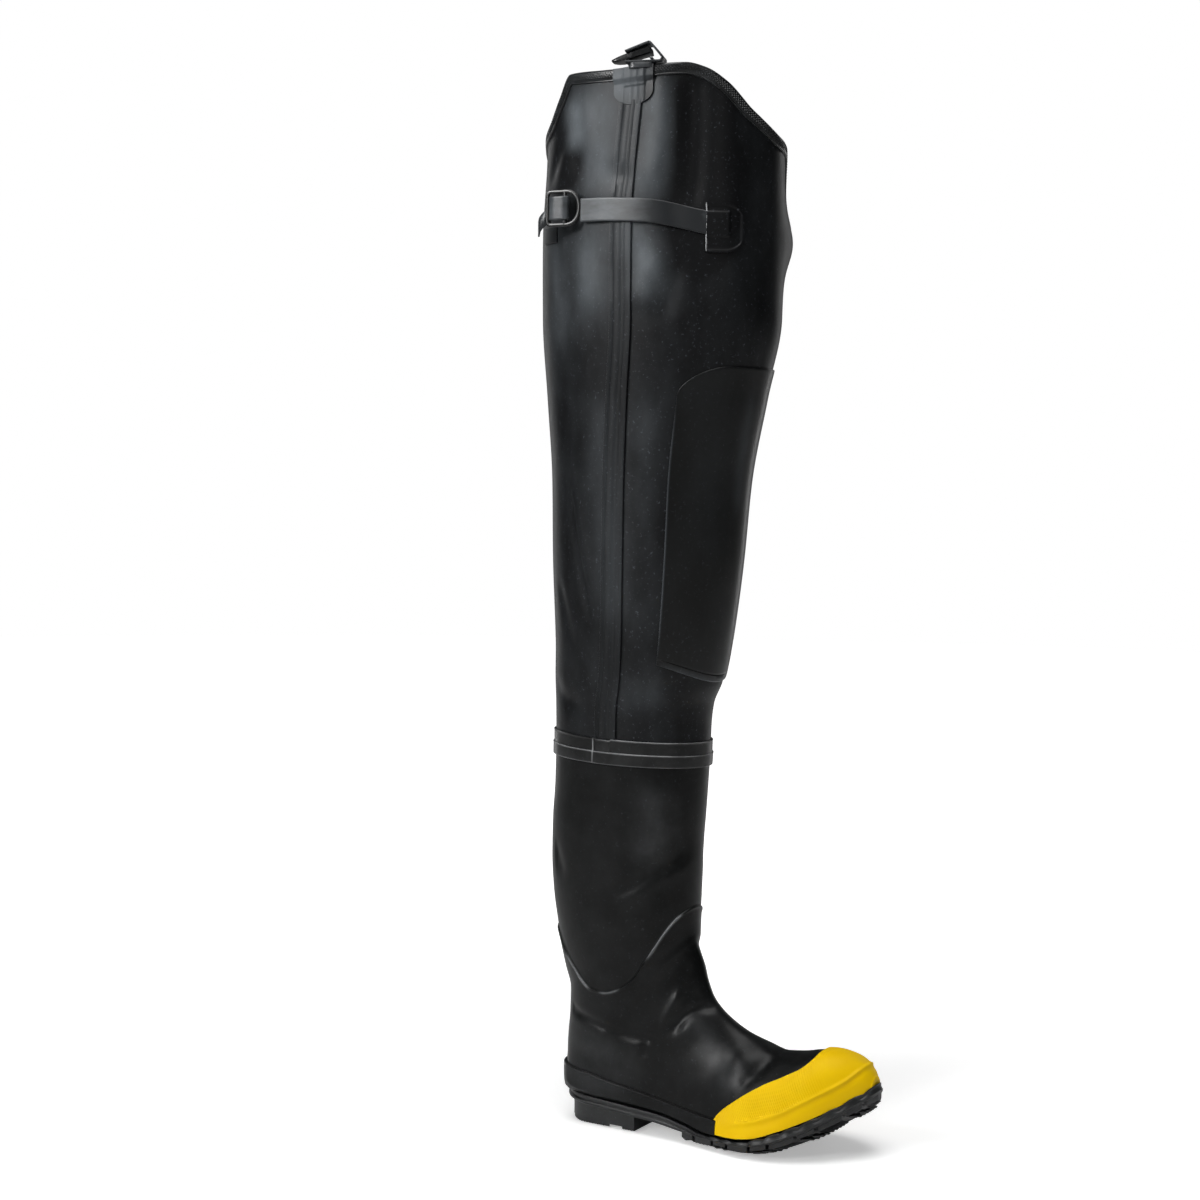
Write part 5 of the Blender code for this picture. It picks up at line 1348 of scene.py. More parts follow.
@dataclass
class Sole:
    """Outsole with a stepped side, arced rows of lugs and a D-shaped heel."""

    form: BootForm
    stations: int = 150
    lug_groove: float = 2.6 * MM
    lug_bow: float = 6 * MM
    stud_height: float = 1.6 * MM
    heel_stud: float = 1.0 * MM
    chevron_tip: float = 0.43
    chevron_sweep: float = 0.30
    chevron_width: float = 13 * MM
    chevron_depth: float = 3 * MM
    # How far inside the edge in millimetres, and height as a share, from the ground up the side
    side: tuple[tuple[float, float], ...] = (
        (0.6, 0.0), (0.0, 0.10), (-0.2, 0.35), (0.1, 0.45), (1.2, 0.56), (1.25, 0.90), (1.7, 1.0))

    def ragged(self, along: Array) -> Array:
        """Scallops of the sole's edge from the ball to the toe, 0 to 1."""
        lobes = np.abs(np.sin(np.pi * (along - 0.5) / 0.047)) ** 0.7
        return lobes * np.clip((along - 0.50) / 0.06, 0, 1)

    def body(self) -> Shape:
        """The sole without its lugs."""
        form = self.form
        size = form.sizes
        number = self.stations
        shares = (1 - np.cos(np.linspace(0, math.pi, number))) / 2
        rings = []
        for inset, rise in self.side:
            inset = inset * MM
            half, shift = form.half_width(shares, inset)
            x = inset + shares * (size.length - 2 * inset)
            along = x / size.length
            low = form.underside(along, np.ones_like(along))
            rag = self.ragged(along)
            push = half + rag * (1.1 * MM if 0.05 < rise < 0.95 else 0.3 * MM)
            z = low + rise * (form.topside(along) - low) + rag * 1.9 * MM * (rise > 0.5)
            near, far = (np.stack([x - form.shift_x, shift + side * push, z], axis=1) for side in (-1, 1))
            rings.append(np.concatenate([near, far[::-1]]))
        rings = np.array(rings)
        count = rings.shape[1]
        faces = grid_faces(len(rings), count, close_columns=True)
        points = [rings.reshape(-1, 3)]
        filled = count * len(rings)
        for level, above in ((0, False), (len(rings) - 1, True)):
            lines = [[level * count + k for k in range(number)]]
            for across in (-0.85, -0.6, -0.3, 0.0, 0.3, 0.6, 0.85):
                ring = rings[level]
                row = ring[:number] * (1 - across) / 2 + ring[::-1][:number] * (1 + across) / 2
                along = np.clip(form.along(row), 0, 1)
                row[:, 2] = form.topside(along) if above else form.underside(along, np.full(number, across))
                points.append(row)
                lines.append([filled + k for k in range(number)])
                filled += number
            lines.append([level * count + count - 1 - k for k in range(number)])
            for near, far in zip(lines, lines[1:]):
                faces += [(near[k], near[k + 1], far[k + 1], far[k]) for k in range(number - 1)]
        return Shape(np.concatenate(points), faces)

    def solve(self, middle: float, across: Array, inset: float) -> tuple[Array, Array]:
        """Where an arced line across the tread meets shares of the sole's width."""
        form = self.form
        size = form.sizes
        x = np.full(len(across), middle)
        y = np.zeros(len(across))
        for _ in range(12):
            half, shift = form.half_width(np.clip(x / size.length, 0, 1), inset)
            y = shift + across * half
            bow = np.maximum(self.lug_bow * (0.5 - (2 * y / size.ball_width) ** 2), -2 * self.lug_bow)
            x = 0.5 * x + 0.5 * np.clip(middle + bow, 0, size.length - inset)
        return x, y

    def lug_rows(self) -> list[tuple[Array, Array, bool]]:
        """Each row of lugs as its ground grid, its root grid and whether it is a wide one."""
        form = self.form
        size = form.sizes
        cuts = [TREAD_START * size.length]
        for share in TREAD_GROOVES:
            cuts += [share * size.length - self.lug_groove / 2, share * size.length + self.lug_groove / 2]
        cuts.append(size.length - 1.5 * MM)
        rows = []
        across = np.linspace(-1, 1, 61)
        shares = np.linspace(0, 1, 9)[:, None]
        for number in range(len(cuts) // 2):
            start, end = (self.solve(cut, across, 0.3 * MM) for cut in cuts[2 * number:2 * number + 2])
            x, y = (start[k] + (end[k] - start[k]) * shares for k in (0, 1))
            wide = number % 2 == 0
            spread = np.broadcast_to(across, x.shape)
            along = np.clip(x / size.length, 0, 1)
            ground = form.tread(along, spread) + (self.stud_height if wide else 0.7 * MM)
            root = np.maximum(form.underside(along, spread) + 1.5 * MM, ground + 0.5 * MM)
            rows.append((*(np.stack([x - form.shift_x, y, z], axis=-1) for z in (ground, root)), wide))
        return rows

    def build(self, material: Material) -> list[Piece]:
        """Make the sole, its lugs and their studs."""
        shape = self.body()
        wide_places: list[Array] = []
        fine_places: list[Array] = []
        for ground, root, wide in self.lug_rows():
            shape = shape.join(Shape.block(ground, root))
            if wide:
                wide_places.append(self.places(ground, 8.0))
            else:
                fine_places.append(self.places(ground, 3.2))
        return [make_piece("outsole_body", shape, material, ("outsole",), sharp=30),
                studs("outsole_diamonds", np.concatenate(wide_places), Stud.BLOCK,
                      (4.2 * MM, self.stud_height, 1.35), material),
                studs("outsole_pyramids", np.concatenate(fine_places), Stud.PYRAMID,
                      (1.6 * MM, 0.9 * MM, 1.1), material)]

    def places(self, ground: Array, pitch_mm: float) -> Array:
        """Staggered places for studs on one row of lugs."""
        pitch = pitch_mm * MM
        depth = np.linalg.norm(ground[-1] - ground[0], axis=1).mean()
        lines = max(2, round(depth / (pitch * 0.62)))
        found = []
        for number in range(lines):
            share = (number + 0.5) / lines * (len(ground) - 1)
            k = min(int(share), len(ground) - 2)
            row = ground[k] * (1 - share + k) + ground[k + 1] * (share - k)
            run = run_along(row)
            margin = pitch * 0.55
            at = np.arange(margin + (number % 2) * pitch / 2, run[-1] - margin, pitch)
            found.append(read_at(at, run, row))
        places = np.concatenate(found)
        places[:, 2] += 0.1 * MM
        return places

    def heel(self, material: Material) -> list[Piece]:
        """Make the heel block with its two lugs and their studs."""
        form = self.form
        size = form.sizes
        half = size.heel_width / 2 - size.heel_inset
        ys = half * np.sin(np.linspace(-math.pi / 2, math.pi / 2, 49))
        back = size.heel_inset + half * (1 - np.sqrt(np.clip(1 - (ys / half) ** 2, 0, 1)))
        outward = np.abs(ys) / (size.heel_width / 2)
        chevron = (self.chevron_tip + self.chevron_sweep * outward) * size.heel_length
        front = np.full(len(ys), size.heel_length)

        def block(start: Array, end: Array, low: float, rounded: float) -> tuple[Array, Array]:
            """Ground and top of a block between two lines across the heel."""
            x = start + (end - start) * np.linspace(0, 1, 15)[:, None]
            y = np.broadcast_to(ys, x.shape)
            along = np.clip(x / size.length, 0, 1)
            high = form.underside(along, np.zeros_like(along)) - 0.3 * MM
            centre = size.heel_length * 0.5
            ground = np.stack([centre + (x - centre) * rounded - form.shift_x, y * rounded,
                               np.full_like(x, low)], axis=-1)
            return ground, np.stack([x - form.shift_x, y, high], axis=-1)

        seat = block(back, front, self.chevron_depth, 0.995)
        lugs = [block(back, chevron, self.heel_stud, 0.985),
                block(chevron + self.chevron_width, front, self.heel_stud, 0.985)]
        shape = Shape.block(*seat).join(Shape.block(*lugs[0])).join(Shape.block(*lugs[1]))
        places = np.concatenate([self.places(ground, 3.4) for ground, _ in lugs])
        places[:, 2] = self.heel_stud
        places = places[np.abs(places[:, 1]) < half - 2 * MM]
        return [make_piece("heel_block", shape, material, ("heel",), sharp=30),
                studs("heel_pyramids", places, Stud.PYRAMID, (1.5 * MM, self.heel_stud, 1.0), material)]


@dataclass
class Insole:
    """Board inside the foot."""

    form: BootForm
    thick: float = 3 * MM
    inset: float = 15.9 * MM
    toe_room: float = 9 * MM
    seat: float = 4.4 * MM

    def build(self, material: Material) -> Piece:
        """Make the board in the sole's outline."""
        form = self.form
        shares = (1 - np.cos(np.linspace(0, math.pi, 70))) / 2
        half, shift = form.half_width(shares, self.inset)
        x = self.inset + shares * (form.sizes.length - self.toe_room - self.inset * 2)
        y = shift + np.linspace(-1, 1, 15)[:, None] * half
        z = form.topside(x / form.sizes.length) + self.seat
        top = np.stack(np.broadcast_arrays(x - form.shift_x, y, z + self.thick), axis=-1)
        under = top - np.array([0, 0, self.thick])
        top[[0, -1]] = top[[0, -1]] - np.array([0, 0, self.thick / 2])
        return make_piece("insole_board", Shape.slab(top, under), material, ("insole",))


@dataclass
class Shaft:
    """Thin tube of rubberised cloth from the joint to the rim, with its lining."""

    form: BootForm
    around: int = 250
    rows: int = 236
    inner_rows: int = 60
    rubber_wall: float = 1.1 * MM

    def build(self, rubber: Material, lining: Material) -> list[Piece]:
        """Make the wall and the cloth inside it."""
        form = self.form
        angles = -180 + 360 * np.arange(self.around) / self.around
        low = form.sizes.joint_height + form.sizes.gap / 2
        heights = low + (form.collar(angles) - low)[None, :] * np.linspace(0, 1, self.rows)[:, None]
        grid = form.leg_point(angles[None, :], heights)
        out = outwards(grid, True)
        shaped = grid + out * relief(grid, SHAFT_MARKS)
        seen = np.linspace(self.rows - 1, 0, self.inner_rows).astype(int)
        wall, outer, inner = (shaped[seen] - out[seen] * deep for deep in (
            self.rubber_wall, self.rubber_wall + 0.05 * MM, form.sizes.shaft_wall))
        shape = Shape.tube(np.concatenate([shaped, wall]), wrap=True)
        cloth = Shape.tube(np.concatenate([outer[::-1], inner]), wrap=True)
        return [make_piece("shaft_wall", shape, rubber, ("thigh_shaft",), bloom=SHAFT_PAINTED_LIGHT_AND_SCUFFS),
                make_piece("shaft_lining", cloth, lining, ())]


@dataclass
class JointBand:
    """Two-step tape round the joint, with its lapped end on the outer side."""

    form: BootForm
    width: float = 21.5 * MM
    thick: float = 2.0 * MM
    step: float = 0.8 * MM
    tilt: float = 5 * MM
    lap: float = 0.7 * MM
    dip: float = 0.9 * MM
    lap_angle: float = -95.5
    tape_from: float = -92.5
    tape_to: float = -82.0
    seen_from: float = -165.0
    seen_to: float = 10.0

    def section(self) -> list[tuple[float, float]]:
        """Height and lift round the band's section, the thicker step below."""
        far = self.thick + 0.42 * MM
        half = self.width / 2
        low = far - self.step
        inner = [(-half, 0.1 * MM), (-half, far - 0.5 * MM)]
        lower = [(-half + 0.35 * MM, far), (-half + 1.3 * MM, far), (-2.0 * MM, far), (-1.2 * MM, far),
                 (-0.45 * MM, far + 0.2 * MM), (0.0, far - 0.2 * MM)]
        upper = [(0.1 * MM, low), (1.0 * MM, low), (half - 2.2 * MM, low), (half - 1.4 * MM, low),
                 (half - 0.5 * MM, low + 0.25 * MM), (half, low - 0.35 * MM), (half, 0.1 * MM)]
        return inner + lower + upper

    def build(self, material: Material) -> Piece:
        """Make the band as a hoop with a stepped section."""
        form = self.form
        section = self.section()
        near = section[0][1]
        turns = set(np.linspace(-180, 180, 241)[:-1])
        for mark in (self.lap_angle, self.tape_from, self.tape_to):
            turns.update(mark + off for off in (-1.3, -0.5, 0.5, 1.3))
        angles = np.array(sorted(turns))
        rings = []
        for angle in angles:
            z = form.sizes.joint_height + self.tilt * (1 - math.cos(math.radians(angle))) / 2
            end = self.tape_to + 20
            lapped = self.lap if self.lap_angle < angle < end else 0.0
            lapped *= min(1.0, max(0.0, (end - angle) / 12))
            taped = self.tape_from < angle < self.tape_to
            over = self.lap if taped else 0.0
            ring = []
            for up, lift in section:
                raised = lift if lift == near else lift + lapped * 0.7 + (over if up > 0 else over * 0.5)
                ring.append(form.leg_point(angle, z + up - (self.dip if taped and up > 0.0 else 0.0), raised))
            rings.append(ring)
        rings = np.array(rings)
        seen = rings[(angles > self.seen_from) & (angles < self.seen_to)]
        right = rings[(angles > self.lap_angle) & (angles < self.seen_to)]
        lap = rings[np.argmin(np.abs(angles - self.lap_angle - 0.5))]
        # Painted highlights along the band's top edge, its step, its lower edge and its lapped end
        painted_highlight = (Mark.along(right[::2, 13], 0.9, 0.6), Mark.along(seen[::2, 6], 0.6, 0.5),
                  Mark.along(seen[::2, 2], 0.25, 0.5), Mark.along(lap[2:14], 0.8, 0.5))
        return make_piece("joint_band_hoop", Shape.tube(rings, wrap=True), material, ("joint_band",),
                          sharp=30, bloom=painted_highlight)


@dataclass
class SeamTape:
    """Two-layer tape up the outer side of the shaft."""

    form: BootForm
    width: float = 21 * MM
    thick: float = 0.8 * MM
    layer: float = 0.7 * MM
    start: float = 13.5 * MM
    top: float = 0.0
    stations: int = 260

    def build(self, material: Material) -> Piece:
        """Make the tape from its section, station by station up the shaft."""
        form = self.form
        size = form.sizes
        keys, angles = columns(TAPE_ROWS)
        far = self.thick + 0.3 * MM
        high = far + self.layer
        # Places across the tape, as shares of its width, and lifts off the shaft
        section = ((0.0, -0.2 * MM), (0.0, far - 0.4 * MM), (0.015, far), (0.18, far),
                   (0.20, far + 0.25 * MM), (0.22, far), (0.50, far), (0.56, high), (0.60, high),
                   (0.70, high), (0.72, high - 0.12 * MM), (0.74, high), (0.93, high + 0.15 * MM),
                   (0.97, high), (0.985, far - 0.2 * MM), (1.0, -0.2 * MM), (0.75, -0.3 * MM),
                   (0.5, -0.3 * MM), (0.25, -0.3 * MM))
        across, lifts = (np.array(column) for column in columns(section))
        rings = []
        for z in np.linspace(size.joint_height + self.start, self.top, self.stations):
            depth = float(form.leg(np.float64(z))[1])
            angle = float(smooth(keys, angles, form.share(z)))
            wide = self.width * min(1.0, depth / (size.calf_depth / 2))
            turns = angle + (across - 0.5) * wide / form.per_degree(angle, z)
            rings.append(form.leg_point(turns, z, lifts))
        return make_piece("side_tape", Shape.tube(rings), material, ("side_seam_tape",),
                          bloom=SHAFT_PAINTED_LIGHT_AND_SCUFFS, sharp=30, rests=form)


@dataclass
class KneePatch:
    """Reinforcing patch on the front of the shaft, with a doubled hem."""

    form: BootForm
    angle: float = 56.0
    low: float = 0.109
    high: float = 0.572
    sag: float = 15.5 * MM
    corner: float = 25 * MM
    thick: float = 1.5 * MM

    def build(self, material: Material) -> Piece:
        """Make the patch as a shell on the shaft."""
        form = self.form
        high = form.height(self.high)
        us = np.sin(np.linspace(-math.pi / 2, math.pi / 2, 121))
        spread = math.sin(math.radians(self.angle))
        half = float(form.leg(np.float64(high - self.corner))[2]) * spread
        inside = np.clip((np.abs(us) * half - half + self.corner) / self.corner, 0, 1)
        tops = high - self.corner + self.corner * np.sqrt(1 - inside ** 2)
        lows = form.height(self.low) + self.sag * us ** 2
        shares = np.concatenate([(0, 0, 0.0015, 0.004, 0.020, 0.023, 0.026), np.linspace(0.03, 0.985, 90),
                                 (0.99, 0.996, 0.9985, 1, 1)])
        lifts = np.full(len(shares), self.thick + 0.3 * MM)
        lifts[:3] = (-0.2 * MM, self.thick - 0.2 * MM, self.thick + 0.2 * MM)
        lifts[4:7] += np.array((0.1, -0.45, 0.0)) * MM
        lifts[-3:] = (self.thick + 0.1 * MM, self.thick - 0.2 * MM, -0.2 * MM)
        z = lows[None, :] + (tops - lows)[None, :] * shares[:, None]
        lift = np.repeat(lifts[:, None], len(us), axis=1)
        lift[:, [0, -1]] = -0.2 * MM
        lift[:, [1, -2]] = np.minimum(lift[:, [1, -2]], self.thick - 0.1 * MM)
        turns = np.repeat(np.degrees(np.arcsin(us * spread))[None, :], len(shares), axis=0)
        turns[:, 1] = turns[:, 0] + 0.06
        turns[:, -2] = turns[:, -1] - 0.06
        top = form.leg_point(turns, z, lift)
        # Painted highlights along the patch's side edge and its hem, and a painted sheen on its front
        edges = (Mark.along(settle(form, top[2:-2, 2])[::6], 0.9, 0.9),
                 Mark.along(settle(form, top[2, 2:-2])[::6], 0.6, 0.7),
                 Mark(((146, -12, 640), (142, -10, 600), (136, -8, 560), (130, -6, 520)), 0.20, 7.0),
                 Mark(((121, -30, 600), (116, -30, 540), (108, -28, 480)), 0.08, 14.0))
        shape = Shape.slab(top, form.leg_point(turns, z, -0.2 * MM))
        return make_piece("knee_patch_skin", shape, material, ("knee_patch",), bloom=edges,
                          sharp=40, rests=form)


@dataclass
class Binding:
    """Strip folded over the rim, with an embossed grain."""

    form: BootForm
    width: float = 8.5 * MM
    thick: float = 1.2 * MM
    pitch: float = 2.6 * MM
    grain_rows: tuple[float, ...] = (1.3, 2.5, 3.7, 4.9)

    def rim(self, count: int) -> tuple[Array, Array]:
        """Angles round the rim, and the way down from it along the surface."""
        angles = -180 + 360 * np.arange(count) / count
        step = 360 / 28
        before = self.form.leg_point(angles - step / 2, self.form.collar(angles))
        after = self.form.leg_point(angles + step / 2, self.form.collar(angles))
        arc = np.linalg.norm(after - before, axis=1)
        climb = self.form.collar(angles + step / 2) - self.form.collar(angles - step / 2)
        span = np.hypot(arc, climb)
        return angles, np.stack([climb / span * step / arc, -arc / span], axis=1)

    def build(self, material: Material) -> list[Piece]:
        """Make the strip and its grain."""
        form = self.form
        leaf = 0.3 * MM + self.thick
        back = -form.sizes.shaft_wall
        # How far below the rim, and lift off the shaft, round the folded section
        section = ((self.width, -0.1 * MM), (self.width, leaf - 0.5 * MM), (self.width - 0.4 * MM, leaf),
                   (self.width - 1.0 * MM, leaf), (self.width - 1.5 * MM, leaf - 0.35 * MM),
                   (self.width - 2.0 * MM, leaf), (2.5 * MM, leaf + 0.1 * MM), (0.2 * MM, leaf),
                   (-1.0 * MM, leaf - 0.6 * MM), (-1.4 * MM, 0.0), (-1.4 * MM, back),
                   (-1.0 * MM, back - 0.7 * MM), (0.0, back - leaf), (self.width - 0.5 * MM, back - leaf),
                   (self.width, back - 0.6 * MM), (self.width, back + 0.1 * MM),
                   (0.4 * MM, back + 0.1 * MM), (0.4 * MM, -0.1 * MM))
        angles, way = self.rim(420)
        rims = form.collar(angles)
        rings = np.stack([form.leg_point(angles + down * way[:, 0], rims + down * way[:, 1], lift)
                          for down, lift in section], axis=1)
        strip = make_piece("collar_strip", Shape.tube(rings, wrap=True), material, ("collar_binding",),
                           sharp=40, rests=form)
        angles, way = self.rim(2000)
        rims = form.collar(angles)
        run = run_along(form.leg_point(angles, rims))
        table = np.stack([angles, way[:, 0], way[:, 1], rims], axis=1)
        found = []
        facing = []
        for row, down_mm in enumerate(self.grain_rows):
            down = down_mm * MM
            at = np.arange((row % 2) * self.pitch / 2, run[-1], self.pitch)
            turn, fall, drop, height = read_at(at, run, table).T
            low, high = (form.leg_point(turn + down * fall, height + down * drop, lift)
                         for lift in (leaf - 0.05 * MM, leaf + 1 * MM))
            found.append(low)
            facing.append(high - low)
        grain = studs("collar_grain", settle(form, np.concatenate(found)), Stud.PYRAMID,
                      (1.1 * MM, 0.6 * MM, 1.0), material, np.concatenate(facing))
        return [strip, grain]


@dataclass
class BeltFittings:
    """Tab on the outer side, and the short belt strap over the rim with its lever buckle."""

    form: BootForm
    tab_angle: float = -82.0
    tab_width: float = 36 * MM
    tab_length: float = 30 * MM
    tab_thick: float = 1.4 * MM
    belt_angle: float = -75.5
    belt_turn: float = 20.0
    belt_width: float = 19 * MM
    belt_length: float = 31 * MM
    belt_rise: float = 17.6 * MM
    strap_thick: float = 1.8 * MM
    lever_length: float = 33 * MM
    lever_height: float = 12.5 * MM
    lever_half: float = 8.5 * MM
    pin_forward: float = 1.5 * MM
    pin_rise: float = 4.7 * MM
    # Ribs pressed up on the tab: place across it, and height, in millimetres
    tab_ribs: tuple[tuple[float, float], ...] = ((-9.0, 0.25), (-2.0, 0.25), (3.5, 0.35), (9.5, 0.45))

    def tab(self, material: Material) -> Piece:
        """Make the rounded tab, with the print of the strap under it."""
        form = self.form
        top = float(form.collar(self.tab_angle))
        radius = self.tab_width / 2
        us = np.sin(np.linspace(-math.pi / 2, math.pi / 2, 61))
        ends = top - self.tab_length + 0.62 * radius * (1 - np.sqrt(np.clip(1 - us ** 2, 0, 1)))
        angles = self.tab_angle + us * radius / form.per_degree(self.tab_angle, top)
        rims = form.collar(angles) + 0.8 * MM
        shares = np.concatenate([(0, 0, 0.012, 0.03), np.linspace(0.06, 0.97, 44), (0.985, 1, 1)])
        z = ends[None, :] + (rims - ends)[None, :] * shares[:, None]
        below = form.collar(angles)[None, :] - z
        over = ease((12.5 * MM - below) / (5 * MM)) * 1.9 * MM
        across = us[None, :] * radius
        print_of_strap = bell(past(np.abs(across - 1.5 * MM), 9.0 * MM), 0.6 * MM)
        print_of_strap = print_of_strap * bell(past(below, 14 * MM), 0.6 * MM)
        lift = self.tab_thick + 0.3 * MM + over + print_of_strap * 0.8 * MM
        for place, tall in self.tab_ribs:
            lift = lift + tall * MM * bell(across - place * MM, 0.9 * MM)
        near = -0.2 * MM
        lift[0] = near
        lift[-1] = near + 1.5 * MM
        lift[1] = np.minimum(lift[1], self.tab_thick - 0.4 * MM)
        lift[:, [0, -1]] = near
        lift[:, [1, -2]] = np.minimum(lift[:, [1, -2]], self.tab_thick - 0.2 * MM + over[:, [1, -2]])
        turns = np.repeat(angles[None, :], len(shares), axis=0)
        shape = Shape.slab(form.leg_point(turns, z, lift), form.leg_point(turns, z, np.minimum(near, lift)))
        # Painted light on the top of the tab and painted shade beside it, like the marks on the shaft round
        # it
        marks = (Mark(((62, -80, 884),), 0.85, 22.0), Mark(((84, -77, 880), (86, -76, 866)), -0.3, 6.0))
        return make_piece("belt_tab_skin", shape, material, ("belt_tab",), bloom=marks,
                          sharp=45, rests=form)

    def spot(self, forward: float, across: float, rise: float) -> Array:
        """A place of the fittings, from the point of the rim that holds them."""
        top = float(self.form.collar(self.belt_angle))
        foot = self.form.leg_point(self.belt_angle, top)
        turn = math.radians(self.belt_turn)
        x = foot[0] + forward * math.cos(turn) - across * math.sin(turn)
        y = foot[1] + self.belt_width / 4 + forward * math.sin(turn) + across * math.cos(turn)
        return np.array([x, y, top + 1.5 * MM + rise])

    def strap(self, material: Material) -> Piece:
        """Make the folded strap with rounded edges, and its foot on the binding."""
        rows = np.array(((-0.640, 0.115), (0.220, 0.125), (0.310, 0.165), (0.340, 0.270), (0.310, 0.380),
                         (0.050, 0.920), (-0.005, 0.985), (-0.085, 0.960), (-0.650, 0.590)))
        path = curve_through(rows * np.array([self.belt_length, self.belt_rise]), 70)
        half = self.belt_width / 2
        flat = half - 0.5 * MM
        # Across the strap, and out of its face
        section = ((-half, -0.5), (-flat, -1), (flat, -1), (half, -0.5), (half, 0.5), (flat, 1), (-flat, 1),
                   (-half, 0.5))
        rings = []
        for i, (x, z) in enumerate(path):
            ahead = path[min(i + 1, len(path) - 1)] - path[max(i - 1, 0)]
            out = np.array([-ahead[1], ahead[0]]) / np.linalg.norm(ahead) * self.strap_thick / 2
            rings.append([self.spot(x + side * out[0], across, z + side * out[1])
                          for across, side in section])
        # Across the foot and up, folded down on the binding
        round_edge = half - 0.6 * MM
        block = ((-half, -3.2 * MM), (half, -3.2 * MM), (half, 1.0 * MM), (round_edge, 1.6 * MM),
                 (-round_edge, 1.6 * MM), (-half, 1.0 * MM))
        foot = []
        for share in np.linspace(-1, 1, 9):
            narrow = math.sqrt(max(0.0, 1 - share ** 6)) * 0.5 + 0.5
            foot.append([self.spot(share * 11.5 * MM - 6.5 * MM, across * narrow, rise)
                         for across, rise in block])
        return make_piece("belt_strap_fold", Shape.tube(rings).join(Shape.tube(foot)), material,
                          ("belt_strap",), sharp=60)

    def buckle(self, material: Material) -> Piece:
        """Make the lever buckle: a wedge with a rounded lever and two cheeks."""
        upper, lower = (curve_through(np.array(rows), 22) for rows in (
            ((-0.97, 0.30), (-0.80, 0.52), (-0.55, 0.76), (-0.28, 1.00), (0.00, 1.13)),
            ((-0.97, 0.22), (-0.80, 0.18), (-0.55, 0.34), (-0.28, 0.50), (0.03, 0.70))))
        middle = (upper + lower) / 2
        rings = []
        for side in np.linspace(-1, 1, 13):
            shrink = math.sqrt(max(0.0, 1 - abs(side) ** 6)) * 0.25 + 0.75
            tip = -0.55 * (1 - shrink)
            outline = np.concatenate([middle + (upper - middle) * shrink,
                                      (middle + (lower - middle) * shrink)[::-1]])
            rings.append([self.spot((forward - tip * max(0.0, -forward)) * self.lever_length,
                                    side * self.lever_half, rise * self.lever_height)
                          for forward, rise in outline])
        return make_piece("belt_lever", Shape.tube(rings), material, ("belt_buckle",),
                          sharp=50)

    def pin(self, material: Material) -> Piece:
        """Make the steel pin with its rounded ends."""
        reach = self.belt_width / 2 + 1 * MM
        rings = []
        for across, radius in ((-1, 0.0), (-1, 0.85), (-0.96, 1.15), (0.96, 1.15), (1, 0.85), (1, 0.0)):
            rings.append([self.spot(self.pin_forward + radius * MM * math.cos(turn), across * reach,
                                    self.pin_rise + radius * MM * math.sin(turn))
                          for turn in np.linspace(0, 2 * math.pi, 28, endpoint=False)])
        return make_piece("belt_wire_pin", Shape.tube(rings), material, ("belt_pin",), sharp=50)


